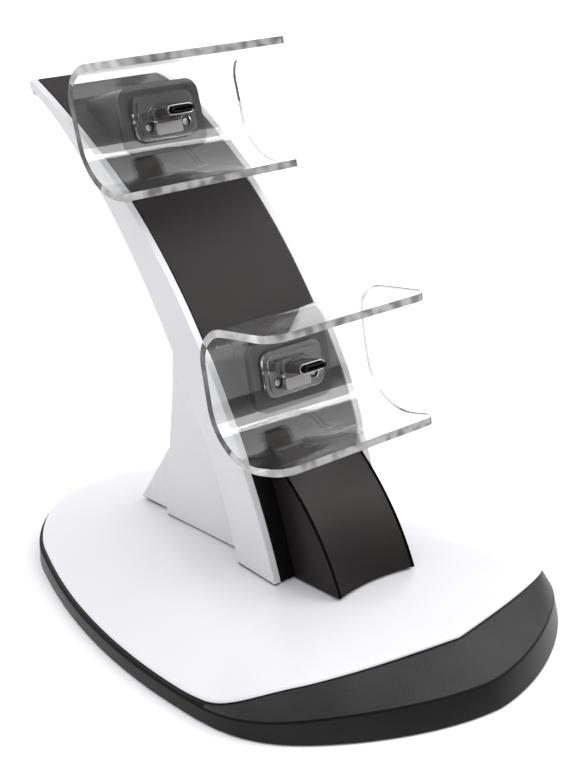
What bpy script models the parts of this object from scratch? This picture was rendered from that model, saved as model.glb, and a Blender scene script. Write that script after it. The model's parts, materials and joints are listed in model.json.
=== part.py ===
"""Charging station for two game controllers, in metres, +Z up, front towards -Y.

The origin is on the table, at the middle of the base's bounding box.
A domed base carries a swept-back blade, and the blade carries two bent clear
cradles, one above the other, each with a charging plug pointing forward.
"""
import math

import bpy
import bmesh
from mathutils import Vector

# sizes
MM = 0.001
FIT_GAP = 0.3 * MM          # clearance left between pieces that meet

# base: plan outlines of the right half, each knot is (x, y, heading in degrees,
# handle before, handle after), from the front crease round to the rear
FOOT_OUTLINE = (
    (0.0, -79.5, 3.3, 0.0, 18.5),
    (44.6, -60.0, 42.0, 11.6, 14.7),
    (55.6, -28.0, 90.0, 11.4, 29.9),
    (38.3, 51.7, 113.0, 26.0, 12.2),
    (0.0, 79.5, 180.0, 17.0, 0.0),
)
RIM_OUTLINE = (
    (0.0, -65.8, 8.5, 0.0, 18.4),
    (41.6, -56.2, 35.0, 6.4, 11.5),
    (54.8, -28.0, 90.0, 10.3, 27.7),
    (37.4, 51.3, 113.5, 26.0, 11.8),
    (0.0, 78.7, 180.0, 16.0, 0.0),
)
OUTLINE_STEPS = (8, 6, 9, 7)    # points on each of the four spans
FRONT_START_Y = -36.0 * MM       # the front facets open forward of here
FRONT_FULL_Y = -60.0 * MM        # and the rim has reached full height here
FRONT_TIP_Y = -76.0 * MM
BAND_LEAN = 2.6 * MM             # how far the lower band leans back in front
SHELL_BOTTOM_Z = 0.3 * MM
FLOOR_THICKNESS = 1.7 * MM
FLOOR_TOP_Z = SHELL_BOTTOM_Z + FLOOR_THICKNESS
BOTTOM_ROUND = 0.3 * MM
WALL = 2.0 * MM
MID_SIDE_Z = 4.2 * MM
MID_FRONT_Z = 6.7 * MM
RIM_SIDE_Z = 5.0 * MM
RIM_FRONT_Z = 13.2 * MM
RIM_REAR_Z = 7.0 * MM
REAR_RISE_Y = 20.0 * MM
REAR_END_Y = 79.5 * MM

# white top plate: a dome that is flat under the arm
DECK_Z = 17.0 * MM
LIP_HEIGHT = 0.9 * MM
LIP_ROUND = 0.3 * MM
PLATE_THICKNESS = 1.9 * MM
DOME_SIDE_POWER = 3.0
DOME_END_EXTRA = 1.5
DOME_CENTRE_Y = 2.0 * MM
DOME_STEPS = (0.3, 0.48, 0.63, 0.76, 0.87, 0.95)
UNDERSIDE_STEPS = (0.92, 0.78, 0.55)

# feet, case screws and ballast
FOOT_RADIUS = 5.5 * MM
FOOT_RECESS = 0.7 * MM
FOOT_PLACES = ((36.0, -53.0), (-36.0, -53.0), (27.0, 55.0), (-27.0, 55.0))
CASE_SCREW_PLACES = ((29.0, -35.0), (-29.0, -35.0), (24.0, 33.0), (-24.0, 33.0))
BALLAST_SIZE = (22.0 * MM, 48.0 * MM, 5.0 * MM)
BALLAST_X = 28.0 * MM
BALLAST_Y = -2.0 * MM

# screws that come up through the floor
BOSS_RADIUS = 4.5 * MM
BOSS_TOP_Z = 4.5 * MM
COUNTERBORE_RADIUS = 3.1 * MM
COUNTERBORE_TOP_Z = 3.0 * MM
SCREW_HEAD_RADIUS = 2.7 * MM
SCREW_HEAD_HEIGHT = 1.5 * MM
SCREW_RADIUS = 1.5 * MM
SCREW_TOP_Z = 9.6 * MM
BORE_CLEARANCE = 0.3 * MM
PLATE_BOSS_RADIUS = 3.6 * MM

# swept blade: side curves as (y, z), angle from vertical and handle length
FACE_START = (-22.3, 17.0, 16.5, 49.0)
FACE_END = (70.3, 129.1, 64.3, 57.5)
BACK_START = (-6.5, 17.0, 8.5, 49.0)
BACK_END = (70.0, 126.4, 67.1, 25.2)
BLADE_TIP = ((70.8, 128.5), (70.7, 127.3))
BLADE_STEPS = 26
BLADE_HALF_WIDTH = 21.2 * MM
FACE_FOOT_SHARE = 0.92           # how narrow the blade's face is at its foot
BACK_FOOT_SHARE = 0.85           # and its back
FULL_WIDTH_Z = 60.0 * MM         # full width from this height up
BLADE_SIDE_WALL = 2.1 * MM
BLADE_BACK_WALL = 1.2 * MM
CHANNEL_OVERSHOOT = 3.0 * MM
PANEL_THICKNESS = 1.5 * MM
STAND_GAP = 0.3 * MM
STAND_Z = DECK_Z + STAND_GAP

# column behind the blade, fin behind the column, block in front of the blade
CORE_HALF_WIDTH = 13.1 * MM
COLUMN_REAR = ((28.5, 17.3), (26.6, 37.0), (24.6, 52.9), (24.3, 64.0))
COLUMN_TOP_Z = 79.0 * MM
FIN_HALF_WIDTH = 11.0 * MM
FIN_APEX = (29.3, 35.6)
FIN_REAR_Y = 41.8 * MM
BLOCK_ARC_CENTRE = (23.1, -9.3)
BLOCK_ARC_RADIUS = 67.2
BLOCK_TOP_Z = 48.6 * MM
BLOCK_DISH = 1.8 * MM
BLOCK_STATIONS = 6
TENON_HALF_WIDTH = 9.0 * MM
COLUMN_TENON_Y = (8.0 * MM, 22.0 * MM)
BLOCK_TENON_Y = (-35.0 * MM, -29.0 * MM)
TENON_BOTTOM_Z = BOSS_TOP_Z + FIT_GAP
FIN_TENON = (4.0 * MM, 32.0 * MM, 37.0 * MM)
FIN_TENON_BOTTOM_Z = DECK_Z - PLATE_THICKNESS
LEAD_X = BLADE_HALF_WIDTH - BLADE_SIDE_WALL - 7.5 * MM
LEAD_PORT_MARGIN = (1.9 * MM, 3.5 * MM)
ARM_SCREW_TOP_Z = 15.0 * MM
BLADE_SCREW_STEPS = (5, 9)

# cradles: one bent clear sheet, drawn upright with its wall's back at y = 0
CRADLE_WIDTH = 51.0 * MM
SHEET = 2.4 * MM
UPPER_LEG_TIP = (28.2, 12.9)
UPPER_CORNER = (0.0, 15.3)
UPPER_BEND = 9.0
LOWER_CORNER = (0.0, -20.0)
LOWER_BEND = 16.0
LOWER_LEG_TIP = (25.8, -19.6)
LEG_CORNER_ROUND = 5.0 * MM
STATIONS = (
    ("lower", -5.1 * MM, 65.4 * MM, 12.0),
    ("upper", 44.0 * MM, 121.1 * MM, 17.0),
)

# connector behind and in front of the cradle's wall
HOUSING_SIZE = (26.0 * MM, 20.0 * MM)
HOUSING_ROUND = 4.0 * MM
HOUSING_WALL = 2.0 * MM
HOUSING_REACH = 30.0 * MM
PLATFORM_SIZE = (20.0 * MM, 14.5 * MM)
PLATFORM_ROUND = 3.0 * MM
PLATFORM_STEP = 1.2 * MM
PLATFORM_STANDOFF = 0.5 * MM
PLATFORM_BASE = 0.7 * MM
PLATFORM_HEIGHT = 1.2 * MM
RIB_SIZE = (7.4 * MM, 2.4 * MM, 0.5 * MM)
COLLAR_SIZE = (11.4 * MM, 5.4 * MM)
COLLAR_FRONT = 4.9 * MM
PLUG_BODY_SIZE = (11.0 * MM, 5.0 * MM)
PLUG_BODY_FRONT = SHEET + PLATFORM_STANDOFF - FIT_GAP
PLUG_BODY_REAR = -3.0 * MM
PLUG_SIZE = (8.34 * MM, 2.56 * MM)
PLUG_SKIN = 0.3 * MM
PLUG_TIP = 11.9 * MM
PLUG_ROOT = -1.4 * MM
CONTACTS_SIZE = (7.0 * MM, 1.3 * MM)
CONTACTS_SLOT = (5.6 * MM, 0.6 * MM)
PLUG_BOARD_TOP = HOUSING_SIZE[1] / 2 - HOUSING_WALL - 0.5 * MM
PLUG_BOARD_BOTTOM = -2.1 * MM
PLUG_BOARD_SIZE = (HOUSING_SIZE[0] - 2 * HOUSING_WALL - 6.0 * MM, PLUG_BOARD_TOP - PLUG_BOARD_BOTTOM, 1.2 * MM)
CRADLE_SCREW_X = 6.5 * MM
CRADLE_SCREW_Z = -4.5 * MM
WINDOW_HALF_WIDTH = PLUG_BOARD_SIZE[0] / 2 + 1.3 * MM
WINDOW_LOW = CRADLE_SCREW_Z - 1.5 * MM
WINDOW_HIGH = PLUG_BOARD_TOP + 2.0 * MM
WINDOW_REACH = (3.0 * MM, 25.0 * MM)
CRADLE_SCREW_HEAD = 1.4 * MM
CRADLE_SCREW_SHANK = 0.8 * MM

# charging electronics in the base
BOARD_HALF_WIDTH = 13.0 * MM
BOARD_Y = (30.0 * MM, 71.4 * MM)
BOARD_Z = (3.3 * MM, 4.5 * MM)
SOCKET_SIZE = (8.94 * MM, 3.16 * MM)
SOCKET_SKIN = 0.3 * MM
SOCKET_LENGTH = 7.3 * MM
SOCKET_MOUTH_Y = 79.0 * MM
SOCKET_Z = 3.9 * MM
TONGUE_SIZE = (6.6 * MM, 0.7 * MM, 5.4 * MM)
LEAD_RADIUS = 0.7 * MM
LEAD_RUN_Z = 8.6 * MM
# last blade step that a lead follows, then where it turns in behind the plug board
# (backward reach and height) and the height at which it ends on the board
LEAD_LOWER_END = (8, (3.5 * MM, -2.0 * MM), 3.0 * MM)
LEAD_UPPER_END = (20, (2.1 * MM, -3.3 * MM), 2.0 * MM)


# materials
def material(name, colour, roughness, metallic=0.0, alpha=1.0):
    made = bpy.data.materials.new(name)
    made.use_nodes = True
    shader = made.node_tree.nodes["Principled BSDF"]
    shader.inputs["Base Color"].default_value = (*colour, 1.0)
    shader.inputs["Roughness"].default_value = roughness
    shader.inputs["Metallic"].default_value = metallic
    shader.inputs["Alpha"].default_value = alpha
    return made


# outlines
def arc_point(start, first, second, end, share):
    rest = 1.0 - share
    return tuple(
        rest ** 3 * a + 3 * rest ** 2 * share * b + 3 * rest * share ** 2 * c + share ** 3 * d
        for a, b, c, d in zip(start, first, second, end)
    )


def half_outline(knots):
    """Points of one half of a base outline, front to rear, both ends included."""
    points = [(knots[0][0], knots[0][1])]
    for (x0, y0, h0, _, after), (x1, y1, h1, before, _), steps in zip(knots, knots[1:], OUTLINE_STEPS):
        out = (x0 + after * math.cos(math.radians(h0)), y0 + after * math.sin(math.radians(h0)))
        back = (x1 - before * math.cos(math.radians(h1)), y1 - before * math.sin(math.radians(h1)))
        for step in range(1, steps + 1):
            points.append(arc_point((x0, y0), out, back, (x1, y1), step / steps))
    return [(x * MM, y * MM) for x, y in points]


def full_outline(knots):
    right = half_outline(knots)
    left = [(-x, y) for x, y in reversed(right[1:-1])]
    return right + left


def outward(points, index):
    """Unit vector that points out of a closed anticlockwise outline."""
    before = Vector(points[index - 1])
    after = Vector(points[(index + 1) % len(points)])
    along = (after - before).normalized()
    return Vector((along.y, -along.x))


def inset(points, distance):
    return [tuple(Vector(p) - outward(points, i) * distance) for i, p in enumerate(points)]


def offset_path(points, distance):
    """Open path moved sideways, to the left of its own direction."""
    moved = []
    for index, point in enumerate(points):
        before = Vector(points[max(index - 1, 0)])
        after = Vector(points[min(index + 1, len(points) - 1)])
        along = (after - before).normalized()
        moved.append(tuple(Vector(point) + Vector((-along.y, along.x)) * distance))
    return moved


def rounded_rectangle(width, height, radius, steps=5):
    points = []
    for turn, (sx, sz) in enumerate(((1, 1), (-1, 1), (-1, -1), (1, -1))):
        cx = sx * (width / 2 - radius)
        cz = sz * (height / 2 - radius)
        for step in range(steps + 1):
            angle = math.radians(90 * (turn + step / steps))
            points.append((cx + radius * math.cos(angle), cz + radius * math.sin(angle)))
    return points


def oblong(width, height, steps=6):
    return rounded_rectangle(width, height, height / 2 * 0.999, steps)


def smoothstep(value, start, end):
    share = min(max((value - start) / (end - start), 0.0), 1.0)
    return share * share * (3 - 2 * share)


def rim_height(y):
    front = smoothstep(y, FRONT_START_Y, FRONT_FULL_Y)
    rear = smoothstep(y, REAR_RISE_Y, REAR_END_Y)
    return RIM_SIDE_Z + (RIM_FRONT_Z - RIM_SIDE_Z) * front + (RIM_REAR_Z - RIM_SIDE_Z) * rear


def mid_height(y):
    front = smoothstep(y, FRONT_START_Y, FRONT_TIP_Y)
    rear = smoothstep(y, REAR_RISE_Y, REAR_END_Y)
    return MID_SIDE_Z + (MID_FRONT_Z - MID_SIDE_Z) * front + (RIM_REAR_Z - RIM_SIDE_Z) * rear


def blade_curve(start, end, steps=BLADE_STEPS):
    """Side curve of the blade as (y, z) points in metres, from the deck up."""
    def handle(knot, sign):
        angle = math.radians(knot[2])
        reach = knot[3] * sign
        return (knot[0] + reach * math.sin(angle), knot[1] + reach * math.cos(angle))

    first = handle(start, 1)
    second = handle(end, -1)
    points = [arc_point(start[:2], first, second, end[:2], step / steps) for step in range(steps + 1)]
    return [(y * MM, z * MM) for y, z in points]


def raised(points, level):
    """The curve with everything below a level dropped and a point set on it."""
    kept = [p for p in points if p[1] > level + 0.5 * MM]
    low = [p for p in points if p[1] <= level + 0.5 * MM][-1]
    share = (level - low[1]) / (kept[0][1] - low[1])
    return [(low[0] + (kept[0][0] - low[0]) * share, level)] + kept


# solids
def finish(name, mesh, surface, smooth_angle=35.0):
    """Put a finished mesh into the scene as a named object."""
    shaped = bpy.data.meshes.new(name)
    bmesh.ops.recalc_face_normals(mesh, faces=mesh.faces)
    mesh.to_mesh(shaped)
    mesh.free()
    shaped.shade_smooth()
    shaped.set_sharp_from_angle(angle=math.radians(smooth_angle))
    thing = bpy.data.objects.new(name, shaped)
    bpy.context.scene.collection.objects.link(thing)
    if surface:
        shaped.materials.append(surface)
    else:
        thing.hide_render = True
        thing.display_type = "WIRE"
    return thing


def loft(name, rings, surface, caps=True):
    """Solid through matching closed rings of 3-D points, ends filled."""
    mesh = bmesh.new()
    loops = [[mesh.verts.new(p) for p in ring] for ring in rings]
    for lower, upper in zip(loops, loops[1:]):
        count = len(lower)
        for index in range(count):
            after = (index + 1) % count
            mesh.faces.new((lower[index], lower[after], upper[after], upper[index]))
    if caps:
        mesh.faces.new(list(reversed(loops[0])))
        mesh.faces.new(loops[-1])
    return finish(name, mesh, surface)


def slab(name, outline, half_width, surface):
    """Side outline of (y, z) points pushed out to both sides along X."""
    rings = [[(x, y, z) for y, z in outline] for x in (-half_width, half_width)]
    return loft(name, rings, surface)


def plug_shape(name, outline, front, rear, surface):
    """Outline of (x, z) points pushed along Y; front and rear are forward reaches."""
    rings = [[(x, -reach, z) for x, z in outline] for reach in (rear, front)]
    return loft(name, rings, surface)


def post(name, x, y, radius, bottom, top, surface, sides=16):
    ring = [
        (x + radius * math.cos(2 * math.pi * i / sides), y + radius * math.sin(2 * math.pi * i / sides))
        for i in range(sides)
    ]
    return loft(name, [[(px, py, z) for px, py in ring] for z in (bottom, top)], surface)


def block(name, x_span, y_span, z_span, surface):
    x0, x1 = x_span
    y0, y1 = y_span
    ring = ((x0, y0), (x1, y0), (x1, y1), (x0, y1))
    return loft(name, [[(x, y, z) for x, y in ring] for z in z_span], surface)


def combine(thing, other, operation):
    step = thing.modifiers.new(operation.lower(), "BOOLEAN")
    step.operation = operation
    step.object = other
    other.hide_render = True
    other.display_type = "WIRE"


def cut(thing, other):
    combine(thing, other, "DIFFERENCE")


def join(thing, other):
    combine(thing, other, "UNION")


def screw(name, head_radius, head_height, radius, length, surface, dome=0.0):
    """Screw that points along +Z with the top of its head's seat at the origin."""
    sides = 14
    profile = [
        (head_radius * 0.6, -head_height - dome),
        (head_radius, -head_height),
        (head_radius, 0.0),
        (radius, 0.0),
        (radius, length - radius),
        (radius * 0.4, length),
    ]
    rings = [
        [(r * math.cos(2 * math.pi * i / sides), r * math.sin(2 * math.pi * i / sides), z)
         for i in range(sides)]
        for r, z in profile
    ]
    return loft(name, rings, surface)


# an empty scene and the materials
for old in list(bpy.data.objects):
    bpy.data.objects.remove(old, do_unlink=True)

black_case = material("black_case", (0.045, 0.042, 0.041), 0.55)
black_gloss = material("black_gloss", (0.02, 0.02, 0.022), 0.3)
face_black = material("face_black", (0.058, 0.055, 0.055), 0.45)
white_case = material("white_case", (0.86, 0.88, 0.9), 0.35)
silver = material("silver", (0.62, 0.62, 0.64), 0.4, 0.3)
clear = material("clear", (0.92, 0.95, 0.96), 0.05, 0.0, 0.35)
steel = material("steel", (0.6, 0.6, 0.6), 0.3, 1.0)
dark_steel = material("dark_steel", (0.2, 0.2, 0.21), 0.4, 1.0)
rubber = material("rubber", (0.02, 0.02, 0.02), 0.9)
board_green = material("board_green", (0.02, 0.14, 0.06), 0.5)
lead_black = material("lead_black", (0.015, 0.015, 0.015), 0.6)

# base shell: tub with a leaning band and a faceted chamfer in front
foot = full_outline(FOOT_OUTLINE)
rim = full_outline(RIM_OUTLINE)
mid = [(x, y + BAND_LEAN * smoothstep(y, FRONT_START_Y, FRONT_TIP_Y)) for x, y in foot]


def level(points, height):
    return [(x, y, height) for x, y in points]


def follow(points, reference, height, drop=0.0):
    return [(x, y, height(ref[1]) - drop) for (x, y), ref in zip(points, reference)]


base_shell = loft(
    "base_shell",
    [
        level(inset(foot, BOTTOM_ROUND), SHELL_BOTTOM_Z),
        level(foot, SHELL_BOTTOM_Z + BOTTOM_ROUND),
        follow(mid, mid, mid_height),
        follow(rim, rim, rim_height, FIT_GAP),
        follow(inset(rim, WALL), rim, rim_height, FIT_GAP),
        follow(inset(mid, WALL + 0.3 * MM), mid, mid_height, WALL / 2),
        level(inset(foot, WALL + 0.8 * MM), FLOOR_TOP_Z),
    ],
    black_case,
)

# white top plate: dome above, rounded lip, hollow below
def dome_height(x, y, share):
    """Height of the dome at a share of the way from its centre to the rim point (x, y)."""
    heading = Vector((x, y - DOME_CENTRE_Y)).normalized()
    power = DOME_SIDE_POWER + DOME_END_EXTRA * heading.y ** 2
    edge = rim_height(y) + LIP_HEIGHT
    return DECK_Z - (DECK_Z - edge) * share ** power


def dome_ring(share, drop=0.0):
    return [
        (x * share, DOME_CENTRE_Y + (y - DOME_CENTRE_Y) * share, dome_height(x, y, share) - drop)
        for x, y in rim
    ]


def underside_height(x, y):
    """Height of the plate's hollow side above a place in the base."""
    place = Vector((x, y - DOME_CENTRE_Y))
    rim_point = max(rim, key=lambda p: Vector((p[0], p[1] - DOME_CENTRE_Y)).normalized().dot(place.normalized()))
    share = place.length / Vector((rim_point[0], rim_point[1] - DOME_CENTRE_Y)).length
    return dome_height(*rim_point, share) - PLATE_THICKNESS


plate_rings = [dome_ring(share, PLATE_THICKNESS) for share in reversed(UNDERSIDE_STEPS)]
plate_rings += [
    follow(inset(rim, WALL + 0.2 * MM), rim, rim_height),
    follow(inset(rim, LIP_ROUND), rim, rim_height),
    follow(rim, rim, rim_height, -LIP_ROUND),
    follow(rim, rim, rim_height, -LIP_HEIGHT + LIP_ROUND),
    follow(inset(rim, LIP_ROUND), rim, rim_height, -LIP_HEIGHT),
]
plate_rings += [dome_ring(share) for share in reversed(DOME_STEPS)]
base_top_plate = loft("base_top_plate", plate_rings, white_case)

# feet
for number, (x, y) in enumerate(FOOT_PLACES, 1):
    recess = post(f"foot_recess_{number}", x * MM, y * MM, FOOT_RADIUS + FIT_GAP, 0.0,
                  SHELL_BOTTOM_Z + FOOT_RECESS, None)
    cut(base_shell, recess)
    post(f"rubber_foot_{number}", x * MM, y * MM, FOOT_RADIUS, 0.0,
         SHELL_BOTTOM_Z + FOOT_RECESS - FIT_GAP, rubber)


def floor_screw(tag, name, x, y, top):
    """Boss in the floor with a sunk screw, and the bore that the screw needs above."""
    join(base_shell, post(f"{tag}_boss", x, y, BOSS_RADIUS, FLOOR_TOP_Z - FLOOR_THICKNESS / 2,
                          BOSS_TOP_Z, None))
    cut(base_shell, post(f"{tag}_counterbore", x, y, COUNTERBORE_RADIUS, 0.0, COUNTERBORE_TOP_Z, None))
    bore = post(f"{tag}_bore", x, y, SCREW_RADIUS + BORE_CLEARANCE, 0.0, top + BORE_CLEARANCE, None)
    cut(base_shell, bore)
    seat = COUNTERBORE_TOP_Z - FIT_GAP
    made = screw(name, SCREW_HEAD_RADIUS, SCREW_HEAD_HEIGHT, SCREW_RADIUS, top - seat, dark_steel)
    made.location = (x, y, seat)
    return bore


# case screws hold the top plate's bosses down
for number, (x, y) in enumerate(CASE_SCREW_PLACES, 1):
    bore = floor_screw(f"case_{number}", f"case_screw_{number}", x * MM, y * MM, SCREW_TOP_Z)
    boss_top = underside_height(x * MM, y * MM) + PLATE_THICKNESS * 0.3
    boss = post(f"plate_boss_{number}", x * MM, y * MM, PLATE_BOSS_RADIUS,
                BOSS_TOP_Z + FIT_GAP, boss_top, None)
    join(base_top_plate, boss)
    cut(base_top_plate, bore)

# ballast
for name, side in (("ballast_left", -1), ("ballast_right", 1)):
    half = BALLAST_SIZE[0] / 2
    block(name, (side * BALLAST_X - half, side * BALLAST_X + half),
          (BALLAST_Y - BALLAST_SIZE[1] / 2, BALLAST_Y + BALLAST_SIZE[1] / 2),
          (FLOOR_TOP_Z + FIT_GAP, FLOOR_TOP_Z + FIT_GAP + BALLAST_SIZE[2]), steel)

# swept blade
face = blade_curve(FACE_START, FACE_END)
back = blade_curve(BACK_START, BACK_END)
face_foot = raised(face, STAND_Z)
back_foot = raised(back, STAND_Z)


def across(depth_share, height, narrower=0.0):
    """Half width of the blade at a height, from its face (0) to its back (1)."""
    foot_share = FACE_FOOT_SHARE + (BACK_FOOT_SHARE - FACE_FOOT_SHARE) * depth_share
    rise = min(max((height - DECK_Z) / (FULL_WIDTH_Z - DECK_Z), 0.0), 1.0)
    return BLADE_HALF_WIDTH * (foot_share + (1.0 - foot_share) * rise) - narrower


def blade_ring(front, rear, rear_share, narrower=0.0):
    """Cross section of the blade between a (y, z) point in front and one behind."""
    wide = across(0.0, front[1], narrower)
    deep = across(rear_share, front[1], narrower)
    return [(-wide, *front), (wide, *front), (deep, *rear), (-deep, *rear)]


blade_rings = [blade_ring(f, b, 1.0) for f, b in zip(face_foot, back_foot)]
blade_rings.append(blade_ring(*[(y * MM, z * MM) for y, z in BLADE_TIP], 1.0))
arm_shell = loft("arm_shell", blade_rings, silver)

panel_depth = PANEL_THICKNESS + FIT_GAP
back_fine = blade_curve(BACK_START, BACK_END, 10 * BLADE_STEPS)


def thickness(index):
    """Distance from the face to the back at one step of the blade."""
    at = Vector(face[index])
    return min((Vector(p) - at).length for p in back_fine)


def channel_depth(index):
    """How deep the hollow goes behind the face at one step of the blade."""
    return max(panel_depth, thickness(index) - BLADE_BACK_WALL)


def behind_face(index, depth):
    """Point at a depth square behind the face at one step of the blade."""
    along = (Vector(face[min(index + 1, BLADE_STEPS)]) - Vector(face[max(index - 1, 0)])).normalized()
    return Vector(face[index]) + Vector((along.y, -along.x)) * depth


channel_rings = []
for index in range(BLADE_STEPS + 1):
    depth = channel_depth(index)
    outer = tuple(behind_face(index, -CHANNEL_OVERSHOOT))
    inner = tuple(behind_face(index, depth))
    share = min(depth / thickness(index), 1.0)
    channel_rings.append(blade_ring(outer, inner, share, BLADE_SIDE_WALL))
channel_rings.insert(0, [(x, y, z - CHANNEL_OVERSHOOT) for x, y, z in channel_rings[0]])
past_top = (Vector(face[-1]) - Vector(face[-2])).normalized() * CHANNEL_OVERSHOOT
channel_rings.append([(x, y + past_top.x, z + past_top.y) for x, y, z in channel_rings[-1]])
channel_cutter = loft("blade_channel", channel_rings, None)
cut(arm_shell, channel_cutter)

panel_rear = raised(offset_path(face, -PANEL_THICKNESS), STAND_Z)
panel_rings = [
    blade_ring(front, rear, PANEL_THICKNESS / thickness(index), BLADE_SIDE_WALL + FIT_GAP)
    for index, (front, rear) in enumerate(zip(face_foot, panel_rear))
]
arm_front_panel = loft("arm_front_panel", panel_rings, face_black)

# column and fin
behind_blade = raised(offset_path(back, -FIT_GAP), STAND_Z)
column_front = [p for p in behind_blade if p[1] < COLUMN_TOP_Z]
column_rear = [(y * MM, z * MM) for y, z in reversed(COLUMN_REAR)]
column = slab("column", column_front + column_rear, CORE_HALF_WIDTH, silver)
column_tenon = block("column_tenon", (-TENON_HALF_WIDTH, TENON_HALF_WIDTH), COLUMN_TENON_Y,
                     (TENON_BOTTOM_Z, DECK_Z + 3 * MM), None)
join(column, column_tenon)

fin_front = [(y * MM + FIT_GAP, z * MM) for y, z in COLUMN_REAR[:2]]
share = (FIN_APEX[1] * MM - fin_front[0][1]) / (fin_front[1][1] - fin_front[0][1])
fin_top_front = (fin_front[0][0] + (fin_front[1][0] - fin_front[0][0]) * share, FIN_APEX[1] * MM)
rear_fin = slab(
    "rear_fin",
    [fin_front[0], (FIN_REAR_Y, STAND_Z), (FIN_APEX[0] * MM, FIN_APEX[1] * MM), fin_top_front],
    FIN_HALF_WIDTH, silver,
)
fin_tenon = block("fin_tenon", (-FIN_TENON[0], FIN_TENON[0]), FIN_TENON[1:],
                  (FIN_TENON_BOTTOM_Z, DECK_Z + 2 * MM), None)
join(rear_fin, fin_tenon)

# front block: arc front, dished across its width
before_face = [p for p in raised(offset_path(face, FIT_GAP), STAND_Z) if p[1] < BLOCK_TOP_Z]
arc_centre = Vector(BLOCK_ARC_CENTRE) * MM
arc_radius = BLOCK_ARC_RADIUS * MM
front_steps = 10
first_angle = math.asin((STAND_Z - arc_centre.y) / arc_radius)
last_angle = math.asin((BLOCK_TOP_Z - arc_centre.y) / arc_radius)


def block_outline(dish):
    arc = []
    for step in range(front_steps + 1):
        angle = first_angle + (last_angle - first_angle) * step / front_steps
        fade = 1.0 - step / front_steps
        arc.append((arc_centre.x - arc_radius * math.cos(angle) + dish * fade,
                    arc_centre.y + arc_radius * math.sin(angle)))
    return arc + list(reversed(before_face))


stations = []
for step in range(-BLOCK_STATIONS, BLOCK_STATIONS + 1):
    across = step / BLOCK_STATIONS
    x = CORE_HALF_WIDTH * across
    outline = block_outline(BLOCK_DISH * (1 - across ** 2))
    stations.append([(x, y, z) for y, z in outline])
front_block = loft("front_block", stations, black_gloss)
block_tenon = block("block_tenon", (-TENON_HALF_WIDTH, TENON_HALF_WIDTH), BLOCK_TENON_Y,
                    (TENON_BOTTOM_Z, DECK_Z + 3 * MM), None)
join(front_block, block_tenon)

# openings in the plate for the tenons and the leads
def port(name, half_width, y_span):
    cut(base_top_plate, block(name, (-half_width, half_width), y_span,
                              (DECK_Z - 5 * MM, DECK_Z + 5 * MM), None))


def wider(span):
    return (span[0] - FIT_GAP, span[1] + FIT_GAP)


port("column_port", TENON_HALF_WIDTH + FIT_GAP, wider(COLUMN_TENON_Y))
port("block_port", TENON_HALF_WIDTH + FIT_GAP, wider(BLOCK_TENON_Y))
port("fin_port", FIN_TENON[0] + FIT_GAP, wider(FIN_TENON[1:]))
lead_entry = behind_face(0, (panel_depth + channel_depth(0)) / 2)
port("lead_port", LEAD_X + LEAD_PORT_MARGIN[0],
     (lead_entry.x - LEAD_PORT_MARGIN[1], lead_entry.x + LEAD_PORT_MARGIN[1]))

# screws from below into the tenons
cut(column, floor_screw("arm_rear", "arm_screw_rear", 0.0, sum(COLUMN_TENON_Y) / 2, ARM_SCREW_TOP_Z))
cut(front_block, floor_screw("arm_front", "arm_screw_front", 0.0, sum(BLOCK_TENON_Y) / 2, ARM_SCREW_TOP_Z))

# screws from the channel through the blade's back into the column
hollow_back = offset_path(back, BLADE_BACK_WALL)
for number, index in enumerate(BLADE_SCREW_STEPS, 1):
    at = Vector(back[index])
    along = Vector(back[index + 1]) - Vector(back[index - 1])
    lean = math.atan2(along.x, along.y)
    inside = Vector(hollow_back[index])
    seat = inside + (inside - at).normalized() * FIT_GAP
    turn = -math.pi / 2 - lean
    hole = post(f"blade_screw_hole_{number}", 0.0, 0.0, SCREW_RADIUS + BORE_CLEARANCE, -2 * MM, 8.4 * MM, None)
    hole.location = (0.0, seat.x, seat.y)
    hole.rotation_euler = (turn, 0.0, 0.0)
    made = screw(f"blade_screw_{number}", SCREW_HEAD_RADIUS, SCREW_HEAD_HEIGHT, SCREW_RADIUS, 8 * MM, dark_steel)
    made.location = (0.0, seat.x, seat.y)
    made.rotation_euler = (turn, 0.0, 0.0)
    cut(arm_shell, hole)
    cut(column, hole)

# everything in front of the blade's face stays clear of this shape
skyline = offset_path(face, FIT_GAP)
top = Vector(skyline[-1]) + (Vector(skyline[-1]) - Vector(skyline[-2])) * 6
in_front = [(skyline[0][0] - 10 * MM, -10 * MM)] + skyline + [tuple(top), (0.2, 0.1), (0.2, -0.01)]
arm_envelope = slab("arm_envelope", in_front, 2 * BLADE_HALF_WIDTH, None)


# cradles
def bent_path(points, radii, steps):
    """Path with each inner corner replaced by an arc of its own radius."""
    path = [points[0]]
    for index, radius in enumerate(radii, 1):
        corner = Vector(points[index])
        into = (Vector(points[index - 1]) - corner).normalized()
        out = (Vector(points[index + 1]) - corner).normalized()
        half = into.angle(out) / 2
        reach = radius / math.tan(half)
        middle = corner + (into + out).normalized() * radius / math.sin(half)
        start = corner + into * reach - middle
        end = corner + out * reach - middle
        sweep = start.angle_signed(end)
        for step in range(steps + 1):
            turn = -sweep * step / steps
            spun = Vector((start.x * math.cos(turn) - start.y * math.sin(turn),
                           start.x * math.sin(turn) + start.y * math.cos(turn)))
            path.append(tuple(middle + spun))
    path.append(points[-1])
    return path


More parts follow.
